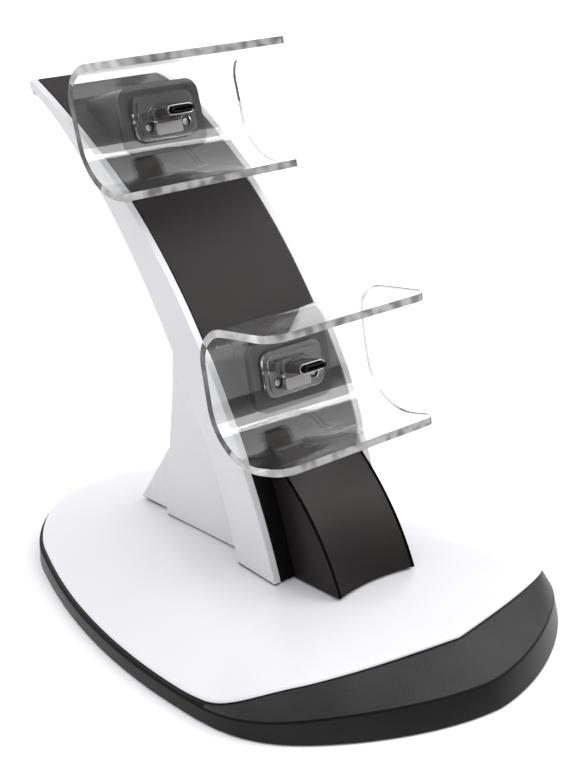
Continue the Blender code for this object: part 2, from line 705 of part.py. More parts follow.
def cradle_mesh(name):
    outer = bent_path((UPPER_LEG_TIP, UPPER_CORNER, LOWER_CORNER, LOWER_LEG_TIP),
                      (UPPER_BEND, LOWER_BEND), 9)
    outer = [(-u * MM, v * MM) for u, v in outer]
    inner = offset_path(outer, -SHEET)
    outline = outer + list(reversed(inner))
    half = CRADLE_WIDTH / 2
    mesh = bmesh.new()
    sides = [[mesh.verts.new((x, y, z)) for y, z in outline] for x in (-half, half)]
    count = len(outline)
    for index in range(count):
        after = (index + 1) % count
        mesh.faces.new((sides[0][index], sides[0][after], sides[1][after], sides[1][index]))
    mesh.faces.new(list(reversed(sides[0])))
    mesh.faces.new(sides[1])
    last = len(outer) - 1
    ends = ((0, count - 1), (last, last + 1))
    tips = []
    for side in sides:
        for a, b in ends:
            tips.append(mesh.edges.get((side[a], side[b])))
    bmesh.ops.bevel(mesh, geom=tips, offset=LEG_CORNER_ROUND, segments=6, profile=0.5,
                    affect="EDGES", clamp_overlap=True)
    return finish(name, mesh, clear)


for station, wall_y, wall_z, tilt in STATIONS:
    stand = bpy.data.objects.new(f"{station}_station", None)
    stand.location = (0.0, wall_y, wall_z)
    stand.rotation_euler = (-math.radians(tilt), 0.0, 0.0)
    bpy.context.scene.collection.objects.link(stand)

    def put(thing):
        thing.parent = stand
        return thing

    cradle = put(cradle_mesh(f"{station}_cradle"))
    body_hole = put(plug_shape(f"{station}_body_hole",
                               oblong(PLUG_BODY_SIZE[0] + 2 * FIT_GAP, PLUG_BODY_SIZE[1] + 2 * FIT_GAP),
                               8 * MM, -6 * MM, None))
    cut(cradle, body_hole)

    housing = put(plug_shape(f"{station}_connector_housing",
                             rounded_rectangle(*HOUSING_SIZE, HOUSING_ROUND),
                             -FIT_GAP, -HOUSING_REACH, black_gloss))
    room = put(plug_shape(
        f"{station}_housing_room",
        rounded_rectangle(HOUSING_SIZE[0] - 2 * HOUSING_WALL, HOUSING_SIZE[1] - 2 * HOUSING_WALL,
                          HOUSING_ROUND - HOUSING_WALL),
        -FIT_GAP - HOUSING_WALL, -HOUSING_REACH - 5 * MM, None))
    cut(housing, room)
    cut(housing, arm_envelope)
    cut(housing, body_hole)

    platform_rear = SHEET + PLATFORM_STANDOFF
    platform = put(plug_shape(f"{station}_connector_platform",
                              rounded_rectangle(*PLATFORM_SIZE, PLATFORM_ROUND),
                              platform_rear + PLATFORM_BASE, platform_rear, clear))
    step = put(plug_shape(
        f"{station}_platform_step",
        rounded_rectangle(PLATFORM_SIZE[0] - 2 * PLATFORM_STEP, PLATFORM_SIZE[1] - 2 * PLATFORM_STEP,
                          PLATFORM_ROUND - PLATFORM_STEP),
        platform_rear + PLATFORM_HEIGHT, platform_rear + PLATFORM_BASE / 2, None))
    join(platform, step)
    rib_outline = [(x, z + CRADLE_SCREW_Z) for x, z in rounded_rectangle(RIB_SIZE[0], RIB_SIZE[1], 0.6 * MM, 3)]
    rib = put(plug_shape(f"{station}_rib", rib_outline,
                         platform_rear + PLATFORM_HEIGHT + RIB_SIZE[2],
                         platform_rear + PLATFORM_HEIGHT / 2, None))
    join(platform, rib)
    collar = put(plug_shape(f"{station}_collar", oblong(*COLLAR_SIZE), COLLAR_FRONT,
                            platform_rear + PLATFORM_HEIGHT / 2, None))
    join(platform, collar)
    collar_hole = put(plug_shape(f"{station}_collar_hole",
                                 oblong(PLUG_SIZE[0] + 2 * FIT_GAP, PLUG_SIZE[1] + 2 * FIT_GAP),
                                 COLLAR_FRONT + 2 * MM, platform_rear - 1 * MM, None))
    cut(platform, collar_hole)

    plug_body = put(plug_shape(f"{station}_plug_body", oblong(*PLUG_BODY_SIZE),
                               PLUG_BODY_FRONT, PLUG_BODY_REAR, black_gloss))
    plug_room = put(plug_shape(f"{station}_plug_room",
                               oblong(PLUG_SIZE[0] + 2 * FIT_GAP, PLUG_SIZE[1] + 2 * FIT_GAP),
                               PLUG_BODY_FRONT + 2 * MM, PLUG_ROOT - FIT_GAP, None))
    cut(plug_body, plug_room)

    plug_shell = put(plug_shape(f"{station}_plug_shell", oblong(*PLUG_SIZE), PLUG_TIP, PLUG_ROOT, steel))
    plug_bore = put(plug_shape(f"{station}_plug_bore",
                               oblong(PLUG_SIZE[0] - 2 * PLUG_SKIN, PLUG_SIZE[1] - 2 * PLUG_SKIN),
                               PLUG_TIP + 2 * MM, PLUG_ROOT - 2 * MM, None))
    cut(plug_shell, plug_bore)

    contacts = put(plug_shape(f"{station}_plug_contacts", oblong(*CONTACTS_SIZE),
                              PLUG_TIP - 0.8 * MM, PLUG_ROOT, black_gloss))
    slot = put(plug_shape(f"{station}_contact_slot", oblong(*CONTACTS_SLOT, 2),
                          PLUG_TIP + 2 * MM, PLUG_TIP - 6.5 * MM, None))
    cut(contacts, slot)

    board_front = PLUG_BODY_REAR - FIT_GAP
    half = PLUG_BOARD_SIZE[0] / 2
    plug_board = put(block(f"{station}_plug_board", (-half, half),
                           (-board_front, -board_front + PLUG_BOARD_SIZE[2]),
                           (PLUG_BOARD_BOTTOM, PLUG_BOARD_TOP), board_green))

    window = put(block(f"{station}_panel_window", (-WINDOW_HALF_WIDTH, WINDOW_HALF_WIDTH),
                       (-WINDOW_REACH[0], WINDOW_REACH[1]), (WINDOW_LOW, WINDOW_HIGH), None))
    cut(arm_front_panel, window)

    for side, sign in (("left", -1), ("right", 1)):
        seat = platform_rear + PLATFORM_HEIGHT - 0.2 * MM
        reach = 4.6 * MM
        made = put(screw(f"{station}_cradle_screw_{side}", CRADLE_SCREW_HEAD, 0.35 * MM,
                         CRADLE_SCREW_SHANK, reach, dark_steel, 0.35 * MM))
        made.location = (sign * CRADLE_SCREW_X, -seat - FIT_GAP, CRADLE_SCREW_Z)
        made.rotation_euler = (-math.pi / 2, 0.0, 0.0)
        bore = put(post(f"{station}_screw_bore_{side}", 0.0, 0.0, CRADLE_SCREW_SHANK + FIT_GAP,
                        -2 * MM, reach + FIT_GAP + 2 * MM, None))
        bore.location = made.location
        bore.rotation_euler = made.rotation_euler
        pocket = put(post(f"{station}_screw_pocket_{side}", 0.0, 0.0, CRADLE_SCREW_HEAD + FIT_GAP,
                          -2 * MM, FIT_GAP, None))
        pocket.location = made.location
        pocket.rotation_euler = made.rotation_euler
        cut(platform, pocket)
        for pierced in (platform, cradle, housing):
            cut(pierced, bore)

# electronics
main_board = block("main_circuit_board", (-BOARD_HALF_WIDTH, BOARD_HALF_WIDTH), BOARD_Y, BOARD_Z, board_green)
parts_on_board = (
    ("power_chip", (-5.0, 3.0), (46.0, 54.0), 1.4),
    ("choke", (5.0, 11.0), (50.0, 57.0), 3.6),
    ("capacitor_block", (-11.0, -6.5), (57.0, 64.0), 2.4),
    ("lead_header", (-7.0, 7.0), (31.5, 35.5), 3.0),
)
for name, x_span, y_span, height in parts_on_board:
    raised_part = block(name, [v * MM for v in x_span], [v * MM for v in y_span],
                        (BOARD_Z[1] - 0.5 * MM, BOARD_Z[1] + height * MM), None)
    join(main_board, raised_part)
for number, (x, y) in enumerate(((-10.0, 40.0), (10.0, 40.0), (-10.0, 68.0), (10.0, 68.0)), 1):
    join(base_shell, post(f"board_pillar_{number}", x * MM, y * MM, 2.2 * MM,
                          FLOOR_TOP_Z - FLOOR_THICKNESS / 2, BOARD_Z[0] - FIT_GAP, None, 12))


def lifted(outline, height):
    return [(x, z + height) for x, z in outline]


socket_rear = SOCKET_MOUTH_Y - SOCKET_LENGTH
input_socket = plug_shape("input_socket_shell", lifted(oblong(*SOCKET_SIZE), SOCKET_Z),
                          -socket_rear, -SOCKET_MOUTH_Y, steel)
socket_mouth = plug_shape(
    "socket_mouth",
    lifted(oblong(SOCKET_SIZE[0] - 2 * SOCKET_SKIN, SOCKET_SIZE[1] - 2 * SOCKET_SKIN), SOCKET_Z),
    -socket_rear - SOCKET_SKIN, -SOCKET_MOUTH_Y - 2 * MM, None)
cut(input_socket, socket_mouth)
tongue_rear = socket_rear + SOCKET_SKIN + FIT_GAP
input_tongue = block("input_socket_tongue", (-TONGUE_SIZE[0] / 2, TONGUE_SIZE[0] / 2),
                     (tongue_rear, tongue_rear + TONGUE_SIZE[2]),
                     (SOCKET_Z - TONGUE_SIZE[1] / 2, SOCKET_Z + TONGUE_SIZE[1] / 2), black_gloss)
wall_hole = plug_shape("socket_wall_hole",
                       lifted(oblong(SOCKET_SIZE[0] + 2 * FIT_GAP, SOCKET_SIZE[1] + 2 * FIT_GAP), SOCKET_Z),
                       -SOCKET_MOUTH_Y + 4 * MM, -SOCKET_MOUTH_Y - 4 * MM, None)
cut(base_shell, wall_hole)


# leads from the board, forward under the plate, up the channel to each plug board
def channel_point(index, x):
    """Middle of the hollow behind the front panel at one step of the blade."""
    centre = behind_face(index, (panel_depth + channel_depth(index)) / 2)
    return (x, centre.x, centre.y)


def station_point(station, x, forward, height):
    _, wall_y, wall_z, tilt = station
    lean = math.radians(tilt)
    return (x, wall_y - forward * math.cos(lean) + height * math.sin(lean),
            wall_z + forward * math.sin(lean) + height * math.cos(lean))


def lead(name, station, x, last_step, entry, end_height):
    board_rear = PLUG_BODY_REAR - FIT_GAP - PLUG_BOARD_SIZE[2]
    points = [
        (x * 0.45, BOARD_Y[0] + 0.3 * MM, BOARD_Z[1] + 1.8 * MM),
        (x * 0.7, BOARD_Y[0] - 5 * MM, LEAD_RUN_Z),
        (x, 18 * MM, LEAD_RUN_Z),
        (x, 0.0, LEAD_RUN_Z),
        (x, lead_entry.x + 2 * MM, 10 * MM),
        channel_point(0, x),
    ]
    points += [channel_point(i, x) for i in range(2, last_step + 1, 2)]
    points.append(station_point(station, x * 0.6, board_rear - entry[0], entry[1]))
    points.append(station_point(station, x * 0.5, board_rear - LEAD_RADIUS - 0.5 * MM, end_height))
    curve = bpy.data.curves.new(name, "CURVE")
    curve.dimensions = "3D"
    curve.bevel_depth = LEAD_RADIUS
    curve.bevel_resolution = 1
    curve.resolution_u = 3
    curve.use_fill_caps = True
    spline = curve.splines.new("BEZIER")
    spline.bezier_points.add(len(points) - 1)
    for knot, place in zip(spline.bezier_points, points):
        knot.co = place
        knot.handle_left_type = "AUTO"
        knot.handle_right_type = "AUTO"
    thing = bpy.data.objects.new(name, curve)
    curve.materials.append(lead_black)
    bpy.context.scene.collection.objects.link(thing)
    return thing


lead("lead_lower", STATIONS[0], LEAD_X, *LEAD_LOWER_END)
lead("lead_upper", STATIONS[1], -LEAD_X, *LEAD_UPPER_END)
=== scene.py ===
"""Looks of a charging station for two game controllers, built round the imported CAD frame."""
import json
import math

import bmesh
import bpy
from mathutils import Matrix, Vector


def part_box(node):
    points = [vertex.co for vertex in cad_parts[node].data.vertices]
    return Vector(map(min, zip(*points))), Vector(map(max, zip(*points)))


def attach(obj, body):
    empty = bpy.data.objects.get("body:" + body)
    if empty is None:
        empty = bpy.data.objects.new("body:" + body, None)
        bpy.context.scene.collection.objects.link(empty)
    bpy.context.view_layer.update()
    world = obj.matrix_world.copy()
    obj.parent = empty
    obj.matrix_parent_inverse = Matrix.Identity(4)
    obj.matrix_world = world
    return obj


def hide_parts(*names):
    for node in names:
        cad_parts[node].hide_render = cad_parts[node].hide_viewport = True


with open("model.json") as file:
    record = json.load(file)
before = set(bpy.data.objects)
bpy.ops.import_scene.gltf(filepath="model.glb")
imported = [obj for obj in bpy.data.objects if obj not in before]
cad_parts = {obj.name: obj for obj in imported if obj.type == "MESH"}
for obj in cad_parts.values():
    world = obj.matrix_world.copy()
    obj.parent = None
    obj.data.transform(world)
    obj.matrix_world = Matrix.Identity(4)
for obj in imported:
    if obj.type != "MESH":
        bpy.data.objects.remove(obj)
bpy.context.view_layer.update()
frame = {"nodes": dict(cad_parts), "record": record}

MM = 0.001
GAP = 0.3                        # clearance between pieces, all sizes below in mm
OVERRUN = 1.0                    # how far a cutter runs past what it cuts
FLAT = 0.9                       # a face whose normal has this share along an axis looks that way

# base: plan knots are (x, y, heading in degrees, handle before, handle after),
# right half, from the front crease round to the rear
FOOT_OUTLINE = (
    (0.0, -79.5, 3.3, 0.0, 18.5),
    (44.6, -60.0, 42.0, 11.6, 14.7),
    (55.6, -28.0, 90.0, 11.4, 29.9),
    (38.3, 51.7, 113.0, 26.0, 12.2),
    (0.0, 79.5, 180.0, 17.0, 0.0),
)
RIM_OUTLINE = (
    (0.0, -65.8, 8.5, 0.0, 18.4),
    (41.6, -56.2, 35.0, 6.4, 11.5),
    (54.8, -28.0, 90.0, 10.3, 27.7),
    (37.4, 51.3, 113.5, 26.0, 11.8),
    (0.0, 78.7, 180.0, 16.0, 0.0),
)
OUTLINE_STEPS = (26, 18, 34, 22)
FRONT_START_Y = -36.0
FRONT_FULL_Y = -60.0
FRONT_TIP_Y = -76.0
REAR_RISE_Y = 20.0
REAR_END_Y = 79.5
BAND_LEAN = 2.6
SHELL_BOTTOM_Z = 0.3
FLOOR_TOP_Z = 2.0
SHELL_WALL = 2.0
MID_SIDE_Z = 4.2
MID_FRONT_Z = 6.7
RIM_SIDE_Z = 5.0
RIM_FRONT_Z = 13.2
RIM_REAR_Z = 7.0
DECK_Z = 17.0
LIP_HEIGHT = 0.9
PLATE_THICKNESS = 1.9
DOME_SIDE_POWER = 3.0
DOME_END_EXTRA = 1.5
DOME_CENTRE_Y = 2.0
DOME_RINGS = 22
DOME_CROWDING = 1.4              # draws the dome's rings together towards its edge
DOME_UNDERSIDE = (0.1, 0.3, 0.5, 0.65, 0.78)     # its rings, as shares of the way from centre to rim
DOME_UNDERSIDE_EDGE = 0.92
UNDERSIDE_INSET = 1.2
INNER_LEAN = 0.3
INNER_COVE = (0.8, 1.8)          # how far in the wall's inside meets the floor
LIP_INSET = 0.2
SHELL_EDGE_ROUND = 0.35
LIP_ROUND = 0.4
SEAM_HALF_HEIGHT = 0.3           # dark line between the chamfer and the band

# underside
FOOT_PLACES = ((36.0, -53.0), (-36.0, -53.0), (27.0, 55.0), (-27.0, 55.0))
FOOT_RADIUS = 5.5
FOOT_THICKNESS = 0.7
FOOT_EDGE = ((1.2, 0.05), (0.5, 0.0), (0.15, 0.06), (0.0, 0.25))     # (inward, up) along its lower edge
FLOOR_SCREWS = (
    ("case_screw_1", 29.0, -35.0),
    ("case_screw_2", -29.0, -35.0),
    ("case_screw_3", 24.0, 33.0),
    ("case_screw_4", -24.0, 33.0),
    ("arm_screw_rear", 0.0, 15.0),
    ("arm_screw_front", 0.0, -32.0),
)
COUNTERBORE_RADIUS = 3.1
COUNTERBORE_TOP_Z = 3.0
BOSS_RADIUS = 4.5
BOSS_TOP_Z = 4.5
BOSS_ROOT = 0.8                  # how far a boss is sunk into the floor
SCREW_HEAD_RADIUS = 2.7
SCREW_HEAD_HEIGHT = 1.5
SCREW_RADIUS = 1.5
SOCKET_HOLE = (9.54, 3.76)
SOCKET_SIZE = (8.94, 3.16)
SOCKET_Z = 3.9
SOCKET_MOUTH_Y = 79.0
SOCKET_LENGTH = 7.3
SOCKET_CUT = 4.0                 # how far its hole is cut to each side of its mouth
SKIN = 0.3                       # thickness of the pressed metal shells

# screw heads, as shares of the head's radius or height
HEAD_SEAT = 0.96
HEAD_EDGE = (0.12, 0.6)          # lower and upper end of its upright edge
HEAD_CROWN = 0.35                # flat middle of the crown
CROWN_STEPS = 6
POINT_RADIUS = 0.4               # the point, as shares of the shank's radius
POINT_LENGTH = 0.8
RECESS_WIDTH = 1.15
RECESS_DEPTH = 0.75
RECESS_BAR = 1 / 7               # half width of the cross's bars, as a share of the cross

# swept blade: (y, z), angle from vertical, handle length
FACE_START = (-22.3, 17.0, 16.5, 49.0)
FACE_END = (70.3, 129.1, 64.3, 57.5)
BACK_START = (-6.5, 17.0, 8.5, 49.0)
BACK_END = (70.0, 126.4, 67.1, 25.2)
BLADE_TIP = ((70.8, 128.5), (70.7, 127.3))
BLADE_STEPS = 78
BLADE_HALF_WIDTH = 21.2
FACE_FOOT_SHARE = 0.92
BACK_FOOT_SHARE = 0.85
FULL_WIDTH_Z = 60.0
SIDE_WALL = 2.1
BACK_WALL = 1.2
PANEL_THICKNESS = 1.5
THIN_BLADE = 3.0                 # below this thickness the channel takes a smaller share of it
THIN_CHANNEL = 0.72
TIP_CHANNEL = 0.6
SHADED_FOOT_DROP = 2.0             # how far below the block's top the facing turns black, as painted shade beside the block
STAND_Z = DECK_Z + GAP

# black lip let in under what stands on the cover, painted shadow of the thin gap beneath it
LIP_SIDE = 0.3                   # how far in it stands
LIP_LEAN = 0.01
BLADE_SHADOW_LIP = 0.5
REAR_SHADOW_LIP = 0.25

# column, fin and front block, with side outlines as (y, z)
CORE_HALF_WIDTH = 13.1
COLUMN_REAR = ((28.5, 17.3), (26.6, 37.0), (24.6, 52.9), (24.3, 64.0))
COLUMN_TOP_Z = 79.0
COLUMN_BEND = 7.0
COLUMN_BEND_STEPS = 6
FIN_HALF_WIDTH = 11.0
FIN_APEX = (29.3, 35.6)
FIN_REAR_Y = 41.8
BLOCK_ARC_CENTRE = (23.1, -9.3)
BLOCK_ARC_RADIUS = 67.2
BLOCK_TOP_Z = 48.6
BLOCK_DISH = 1.8
BLOCK_ARC_STEPS = 36
BLOCK_STRIPS = 14                # strips from the middle to each side, the last one dull black as painted shade on the rounded edge

# cradles: bent sheet drawn upright as (forward, up), its back at forward = 0
CRADLE_WIDTH = 53.0
SHEET = 1.9
CRADLE_BENDS = (9.0, 16.0)
LEG_CORNER_ROUND = 5.0
BEND_STEPS = 22
SHEET_TIP_Y = -18.0              # in front of this, a face that looks forward is a leg's tip
WALL_EDGE = 0.8                  # the wall's edge, darkened as painted shade, runs this far in front of the wall
BEND_EDGE_Y = -6.0               # and this far round the lower bend
STATIONS = (
    ("lower", -5.1, 65.4, 12.0, ((27.2, 13.9), (0.0, 15.8), (0.0, -20.0), (24.8, -19.6))),
    ("upper", 44.0, 121.1, 17.0, ((26.9, 12.9), (0.0, 15.3), (0.0, -20.3), (22.7, -20.1))),
)

# connector
HOUSING_SIZE = (26.0, 18.4)
HOUSING_ROUND = 4.0
HOUSING_WALL = 2.0
HOUSING_DROP = 1.0
HOUSING_FRONT = 1.6              # how far the housing is let into the sheet
HOUSING_LEAST_FLOOR = 0.2
PLATFORM_SIZE = (19.6, 11.8)
PLATFORM_DROP = 0.7
PLATFORM_ROUND = 3.0
PLATFORM_STEP = 1.2
PLATFORM_REAR = SHEET + 0.15
PLATFORM_BASE = 0.8
PLATFORM_HEIGHT = 1.2
PLATFORM_FRONT = PLATFORM_REAR + PLATFORM_HEIGHT
RIB_SIZE = (8.4, 3.0, 0.5)
RIB_Z = -3.9
RIB_ROUND = 0.6
COLLAR_SIZE = (10.6, 4.7)
COLLAR_FRONT = 4.3
BODY_SIZE = (10.2, 4.4)
BODY_REAR = -9.0
BODY_CHAMFER = 0.4
PLUG_SIZE = (8.34, 2.56)
PLUG_TIP = 9.8
PLUG_ROOT = -1.4
WINDOW_HALF_WIDTH = 9.3
WINDOW_LOW = -6.0
WINDOW_HIGH = 7.4
WINDOW_REACH = (-3.0, 25.0)
CRADLE_SCREW_X = 6.0
CRADLE_SCREW_Z = -3.0
CRADLE_SCREW_HEAD = 1.0
CRADLE_SCREW_CUP = 1.6
CRADLE_SCREW_HEIGHT = 0.35
CRADLE_SCREW_DOME = 0.3
CUP_DEPTH = 0.9
CRADLE_SCREW_SHANK = 0.8
CRADLE_SCREW_LENGTH = 4.6
WASHER_PLAY = (0.05, 0.1)        # inside and outside the washer
WASHER_RIM = (0.75, 0.85)        # heights of the rim's outer and inner edge
WASHER_LIP = 0.2
WASHER_HOLLOW = (0.25, 0.3)      # heights of the hollow by the screw's head

# cuts along the plug, as (back, front) ends
SHEET_CUT = (-6.0, 8.0)
SHEET_BORE = (-2.0, 6.0)
HOUSING_CUT = (-5.0, 4.0)
HOUSING_BORE = (-3.0, 4.0)

# studio and camera, in metres and degrees
FLOOR_HALF = 9.0
SKY_STRENGTH = (0.92, 1.58)      # at the horizon and overhead
DIM_SIDE = (0.63, -0.776, 0.0)   # way to the dimmer patch of sky
DIM_EDGE = (0.45, 0.85)
DIM_HEIGHT = (0.15, 0.5)
DIM_DEPTH = 0.75
LAMPS = (                        # name, place, width, height, watts
    ("soft key", (0.79, -0.72, 0.80), 1.0, 0.33, 3.7),
    ("strip light", (0.90, -0.46, 0.98), 1.0, 0.12, 3.0),
)
LAMP_TARGET = (0.0, 0.0, 0.06)
CAMERA_PLACE = (-0.2602, -0.2914, 0.2054)
CAMERA_TURN = 42.455             # to the left of the front
CAMERA_RISE = 20.561
CAMERA_LENS = 77.2
SENSOR_WIDTH = 36.0


# curves and outlines, in mm
def cubic(start, first, second, end, share):
    rest = 1.0 - share
    return tuple(
        rest ** 3 * a + 3 * rest ** 2 * share * b + 3 * rest * share ** 2 * c + share ** 3 * d
        for a, b, c, d in zip(start, first, second, end)
    )


def plan_outline(knots):
    """Closed plan outline, anticlockwise from the front crease."""
    right = [knots[0][:2]]
    for (x0, y0, h0, _, after), (x1, y1, h1, before, _), steps in zip(knots, knots[1:], OUTLINE_STEPS):
        out = (x0 + after * math.cos(math.radians(h0)), y0 + after * math.sin(math.radians(h0)))
        back = (x1 - before * math.cos(math.radians(h1)), y1 - before * math.sin(math.radians(h1)))
        right += [cubic((x0, y0), out, back, (x1, y1), step / steps) for step in range(1, steps + 1)]
    return right + [(-x, y) for x, y in reversed(right[1:-1])]


def inset(points, distance):
    """Closed anticlockwise outline moved inward."""
    moved = []
    for index, point in enumerate(points):
        along = (Vector(points[(index + 1) % len(points)]) - Vector(points[index - 1])).normalized()
        moved.append(tuple(Vector(point) - Vector((along.y, -along.x)) * distance))
    return moved


def offset_path(points, distance):
    """Open path moved to the left of its own direction."""
    moved = []
    for index, point in enumerate(points):
        ahead = Vector(points[min(index + 1, len(points) - 1)])
        along = (ahead - Vector(points[max(index - 1, 0)])).normalized()
        moved.append(tuple(Vector(point) + Vector((-along.y, along.x)) * distance))
    return moved


def smoothstep(value, start, end):
    share = min(max((value - start) / (end - start), 0.0), 1.0)
    return share * share * (3 - 2 * share)


def soften(points, radius, steps=3):
    """Open 3-D or 2-D line with each inner corner rounded by a short curve."""
    points = [Vector(p) for p in points]
    line = [points[0]]
    for before, corner, after in zip(points, points[1:], points[2:]):
        into = before - corner
        out = after - corner
        start = corner + into * min(radius / into.length, 0.45)
        end = corner + out * min(radius / out.length, 0.45)
        for step in range(steps + 1):
            share = step / steps
            line.append(start.lerp(corner, share).lerp(corner.lerp(end, share), share))
    line.append(points[-1])
    return line


def rounded_rectangle(width, height, radius, steps=8):
    points = []
    for turn, (sx, sz) in enumerate(((1, 1), (-1, 1), (-1, -1), (1, -1))):
        for step in range(steps + 1):
            angle = math.radians(90 * (turn + step / steps))
            points.append((sx * (width / 2 - radius) + radius * math.cos(angle),
                           sz * (height / 2 - radius) + radius * math.sin(angle)))
    return points


def oblong(width, height, steps=8):
    return rounded_rectangle(width, height, height / 2 * 0.999, steps)


def rim_height(y):
    front = smoothstep(y, FRONT_START_Y, FRONT_FULL_Y)
    rear = smoothstep(y, REAR_RISE_Y, REAR_END_Y)
    return RIM_SIDE_Z + (RIM_FRONT_Z - RIM_SIDE_Z) * front + (RIM_REAR_Z - RIM_SIDE_Z) * rear


def mid_height(y):
    front = smoothstep(y, FRONT_START_Y, FRONT_TIP_Y)
    rear = smoothstep(y, REAR_RISE_Y, REAR_END_Y)
    return MID_SIDE_Z + (MID_FRONT_Z - MID_SIDE_Z) * front + (RIM_REAR_Z - RIM_SIDE_Z) * rear


def blade_curve(start, end):
    def handle(knot, sign):
        angle = math.radians(knot[2])
        return (knot[0] + sign * knot[3] * math.sin(angle), knot[1] + sign * knot[3] * math.cos(angle))

    first = handle(start, 1)
    second = handle(end, -1)
    return [cubic(start[:2], first, second, end[:2], step / BLADE_STEPS) for step in range(BLADE_STEPS + 1)]


def raised(points, level):
    """Path with its part below a level cut away at that level."""
    kept = [p for p in points if p[1] > level]
    low = points[len(points) - len(kept) - 1]
    share = (level - low[1]) / (kept[0][1] - low[1])
    return [(low[0] + (kept[0][0] - low[0]) * share, level)] + kept


# meshes
def loft(rings, caps=True):
    """Closed mesh through matching rings of 3-D points in mm."""
    mesh = bmesh.new()
    loops = [[mesh.verts.new([v * MM for v in p]) for p in ring] for ring in rings]
    for lower, upper in zip(loops, loops[1:]):
        for index, corner in enumerate(lower):
            after = (index + 1) % len(lower)
            mesh.faces.new((corner, lower[after], upper[after], upper[index]))
    if caps:
        mesh.faces.new(list(reversed(loops[0])))
        mesh.faces.new(loops[-1])
    else:
        for index, corner in enumerate(loops[-1]):
            after = (index + 1) % len(loops[-1])
            mesh.faces.new((corner, loops[-1][after], loops[0][after], loops[0][index]))
    bmesh.ops.recalc_face_normals(mesh, faces=mesh.faces)
    return mesh


def lathe(profile, sides=40):
    """Turned solid about Z from (radius, height) points."""
    turns = [2 * math.pi * index / sides for index in range(sides)]
    return loft([[(radius * math.cos(turn), radius * math.sin(turn), height) for turn in turns]
                 for radius, height in profile])


def along_plug(outlines):
    """Rings from (outline, forward reach) pairs, outlines being (x, z) points."""
    return [[(x, -reach, z) for x, z in outline] for outline, reach in outlines]


def hole_through(outline, back_end, front_end):
    return loft(along_plug([(outline, back_end), (outline, front_end)]))


def box_mesh(low, high):
    (x0, y0, z0), (x1, y1, z1) = low, high
    ring = ((x0, y0), (x1, y0), (x1, y1), (x0, y1))
    return loft([[(x, y, z) for x, y in ring] for z in (z0, z1)])


def plain_object(name, mesh):
    data = bpy.data.meshes.new(name)
    mesh.to_mesh(data)
    mesh.free()
    thing = bpy.data.objects.new(name, data)
    bpy.context.scene.collection.objects.link(thing)
    return thing


def carved(name, mesh, cutters, joined=()):
    """Mesh with solids added and then other solids cut out of it."""
    thing = plain_object(name, mesh)
    tools = []
    for operation, solids in (("UNION", joined), ("DIFFERENCE", cutters)):
        for solid in solids:
            tool = plain_object(name + "_tool", solid)
            tools.append(tool)
            step = thing.modifiers.new("carve", "BOOLEAN")
            step.operation = operation
            step.solver = "EXACT"
            step.object = tool
    shown = thing.evaluated_get(bpy.context.evaluated_depsgraph_get())
    result = bmesh.new()
    result.from_mesh(shown.data)
    for extra in tools + [thing]:
        data = extra.data
        bpy.data.objects.remove(extra, do_unlink=True)
        bpy.data.meshes.remove(data)
    return result


def piece(name, mesh, surfaces, nodes, round_edges=0.3, place=None, angle=30.0):
    """Finished piece that rides with the part and stands for its CAD nodes."""
    if place:
        mesh.transform(place)
    thing = plain_object(name, mesh)
    thing.data.shade_smooth()
    thing.data.set_sharp_from_angle(angle=math.radians(angle))
    for surface in surfaces:
        thing.data.materials.append(surface)
    if round_edges:
        bevel = thing.modifiers.new("rounded edges", "BEVEL")
        bevel.width = round_edges * MM
        bevel.segments = 3
        bevel.limit_method = "ANGLE"
        bevel.angle_limit = math.radians(angle)
        bevel.harden_normals = True
    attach(thing, "root")
    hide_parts(*nodes)
    return thing


# shader groups
def new_group(name, inputs, outputs):
    """Empty shader group; inputs are (name, default) and outputs (name, kind)."""
    tree = bpy.data.node_groups.new(name, "ShaderNodeTree")
    for label, value in inputs:
        socket = tree.interface.new_socket(name=label, in_out="INPUT", socket_type="NodeSocketFloat")
        socket.default_value = value
    for label, kind in outputs:
        tree.interface.new_socket(name=label, in_out="OUTPUT", socket_type=kind)
    return tree, tree.nodes.new("NodeGroupInput").outputs, tree.nodes.new("NodeGroupOutput").inputs


def node(tree, kind, links=None, **values):
    """Node with its attributes set and its inputs linked or filled by name or number."""
    made = tree.nodes.new("ShaderNode" + kind)
    for label, value in values.items():
        setattr(made, label, value)
    for label, value in (links or {}).items():
        if isinstance(value, bpy.types.NodeSocket):
            tree.links.new(value, made.inputs[label])
        else:
            made.inputs[label].default_value = value
    return made


def maths(tree, operation, first, second=0.0, third=0.0, clamp=False):
    links = {0: first, 1: second, 2: third}
    return node(tree, "Math", links, operation=operation, use_clamp=clamp).outputs[0]


def in_mm(tree, size):
    """Object coordinates divided by a size in mm."""
    place = node(tree, "TexCoord").outputs["Object"]
    scale = maths(tree, "DIVIDE", 1.0 / MM, size)
    return node(tree, "VectorMath", {0: place, 3: scale}, operation="SCALE").outputs[0]


FLOAT = "NodeSocketFloat"


def grain_group():
    """Fine moulded grain: a height for bump and a tone that drifts over the piece."""
    tree, given, out = new_group("Moulded grain",
                                 (("Grain size", 0.4), ("Drift size", 14.0), ("Drift", 0.06)),
                                 (("Height", FLOAT), ("Tone", FLOAT)))
    fine = node(tree, "TexNoise", {"Vector": in_mm(tree, given["Grain size"]), "Scale": 1.0, "Detail": 3.0,
                                   "Roughness": 0.65}).outputs[0]
    drift = node(tree, "TexNoise", {"Vector": in_mm(tree, given["Drift size"]), "Scale": 1.0,
                                    "Detail": 2.0}).outputs[0]
    tree.links.new(fine, out["Height"])
    centred = maths(tree, "MULTIPLY", maths(tree, "SUBTRACT", drift, 0.5), given["Drift"])
    speck = maths(tree, "MULTIPLY", maths(tree, "SUBTRACT", fine, 0.5), given["Drift"])
    tree.links.new(maths(tree, "ADD", 1.0, maths(tree, "ADD", maths(tree, "MULTIPLY", centred, 2.0), speck)),
                   out["Tone"])
    return tree


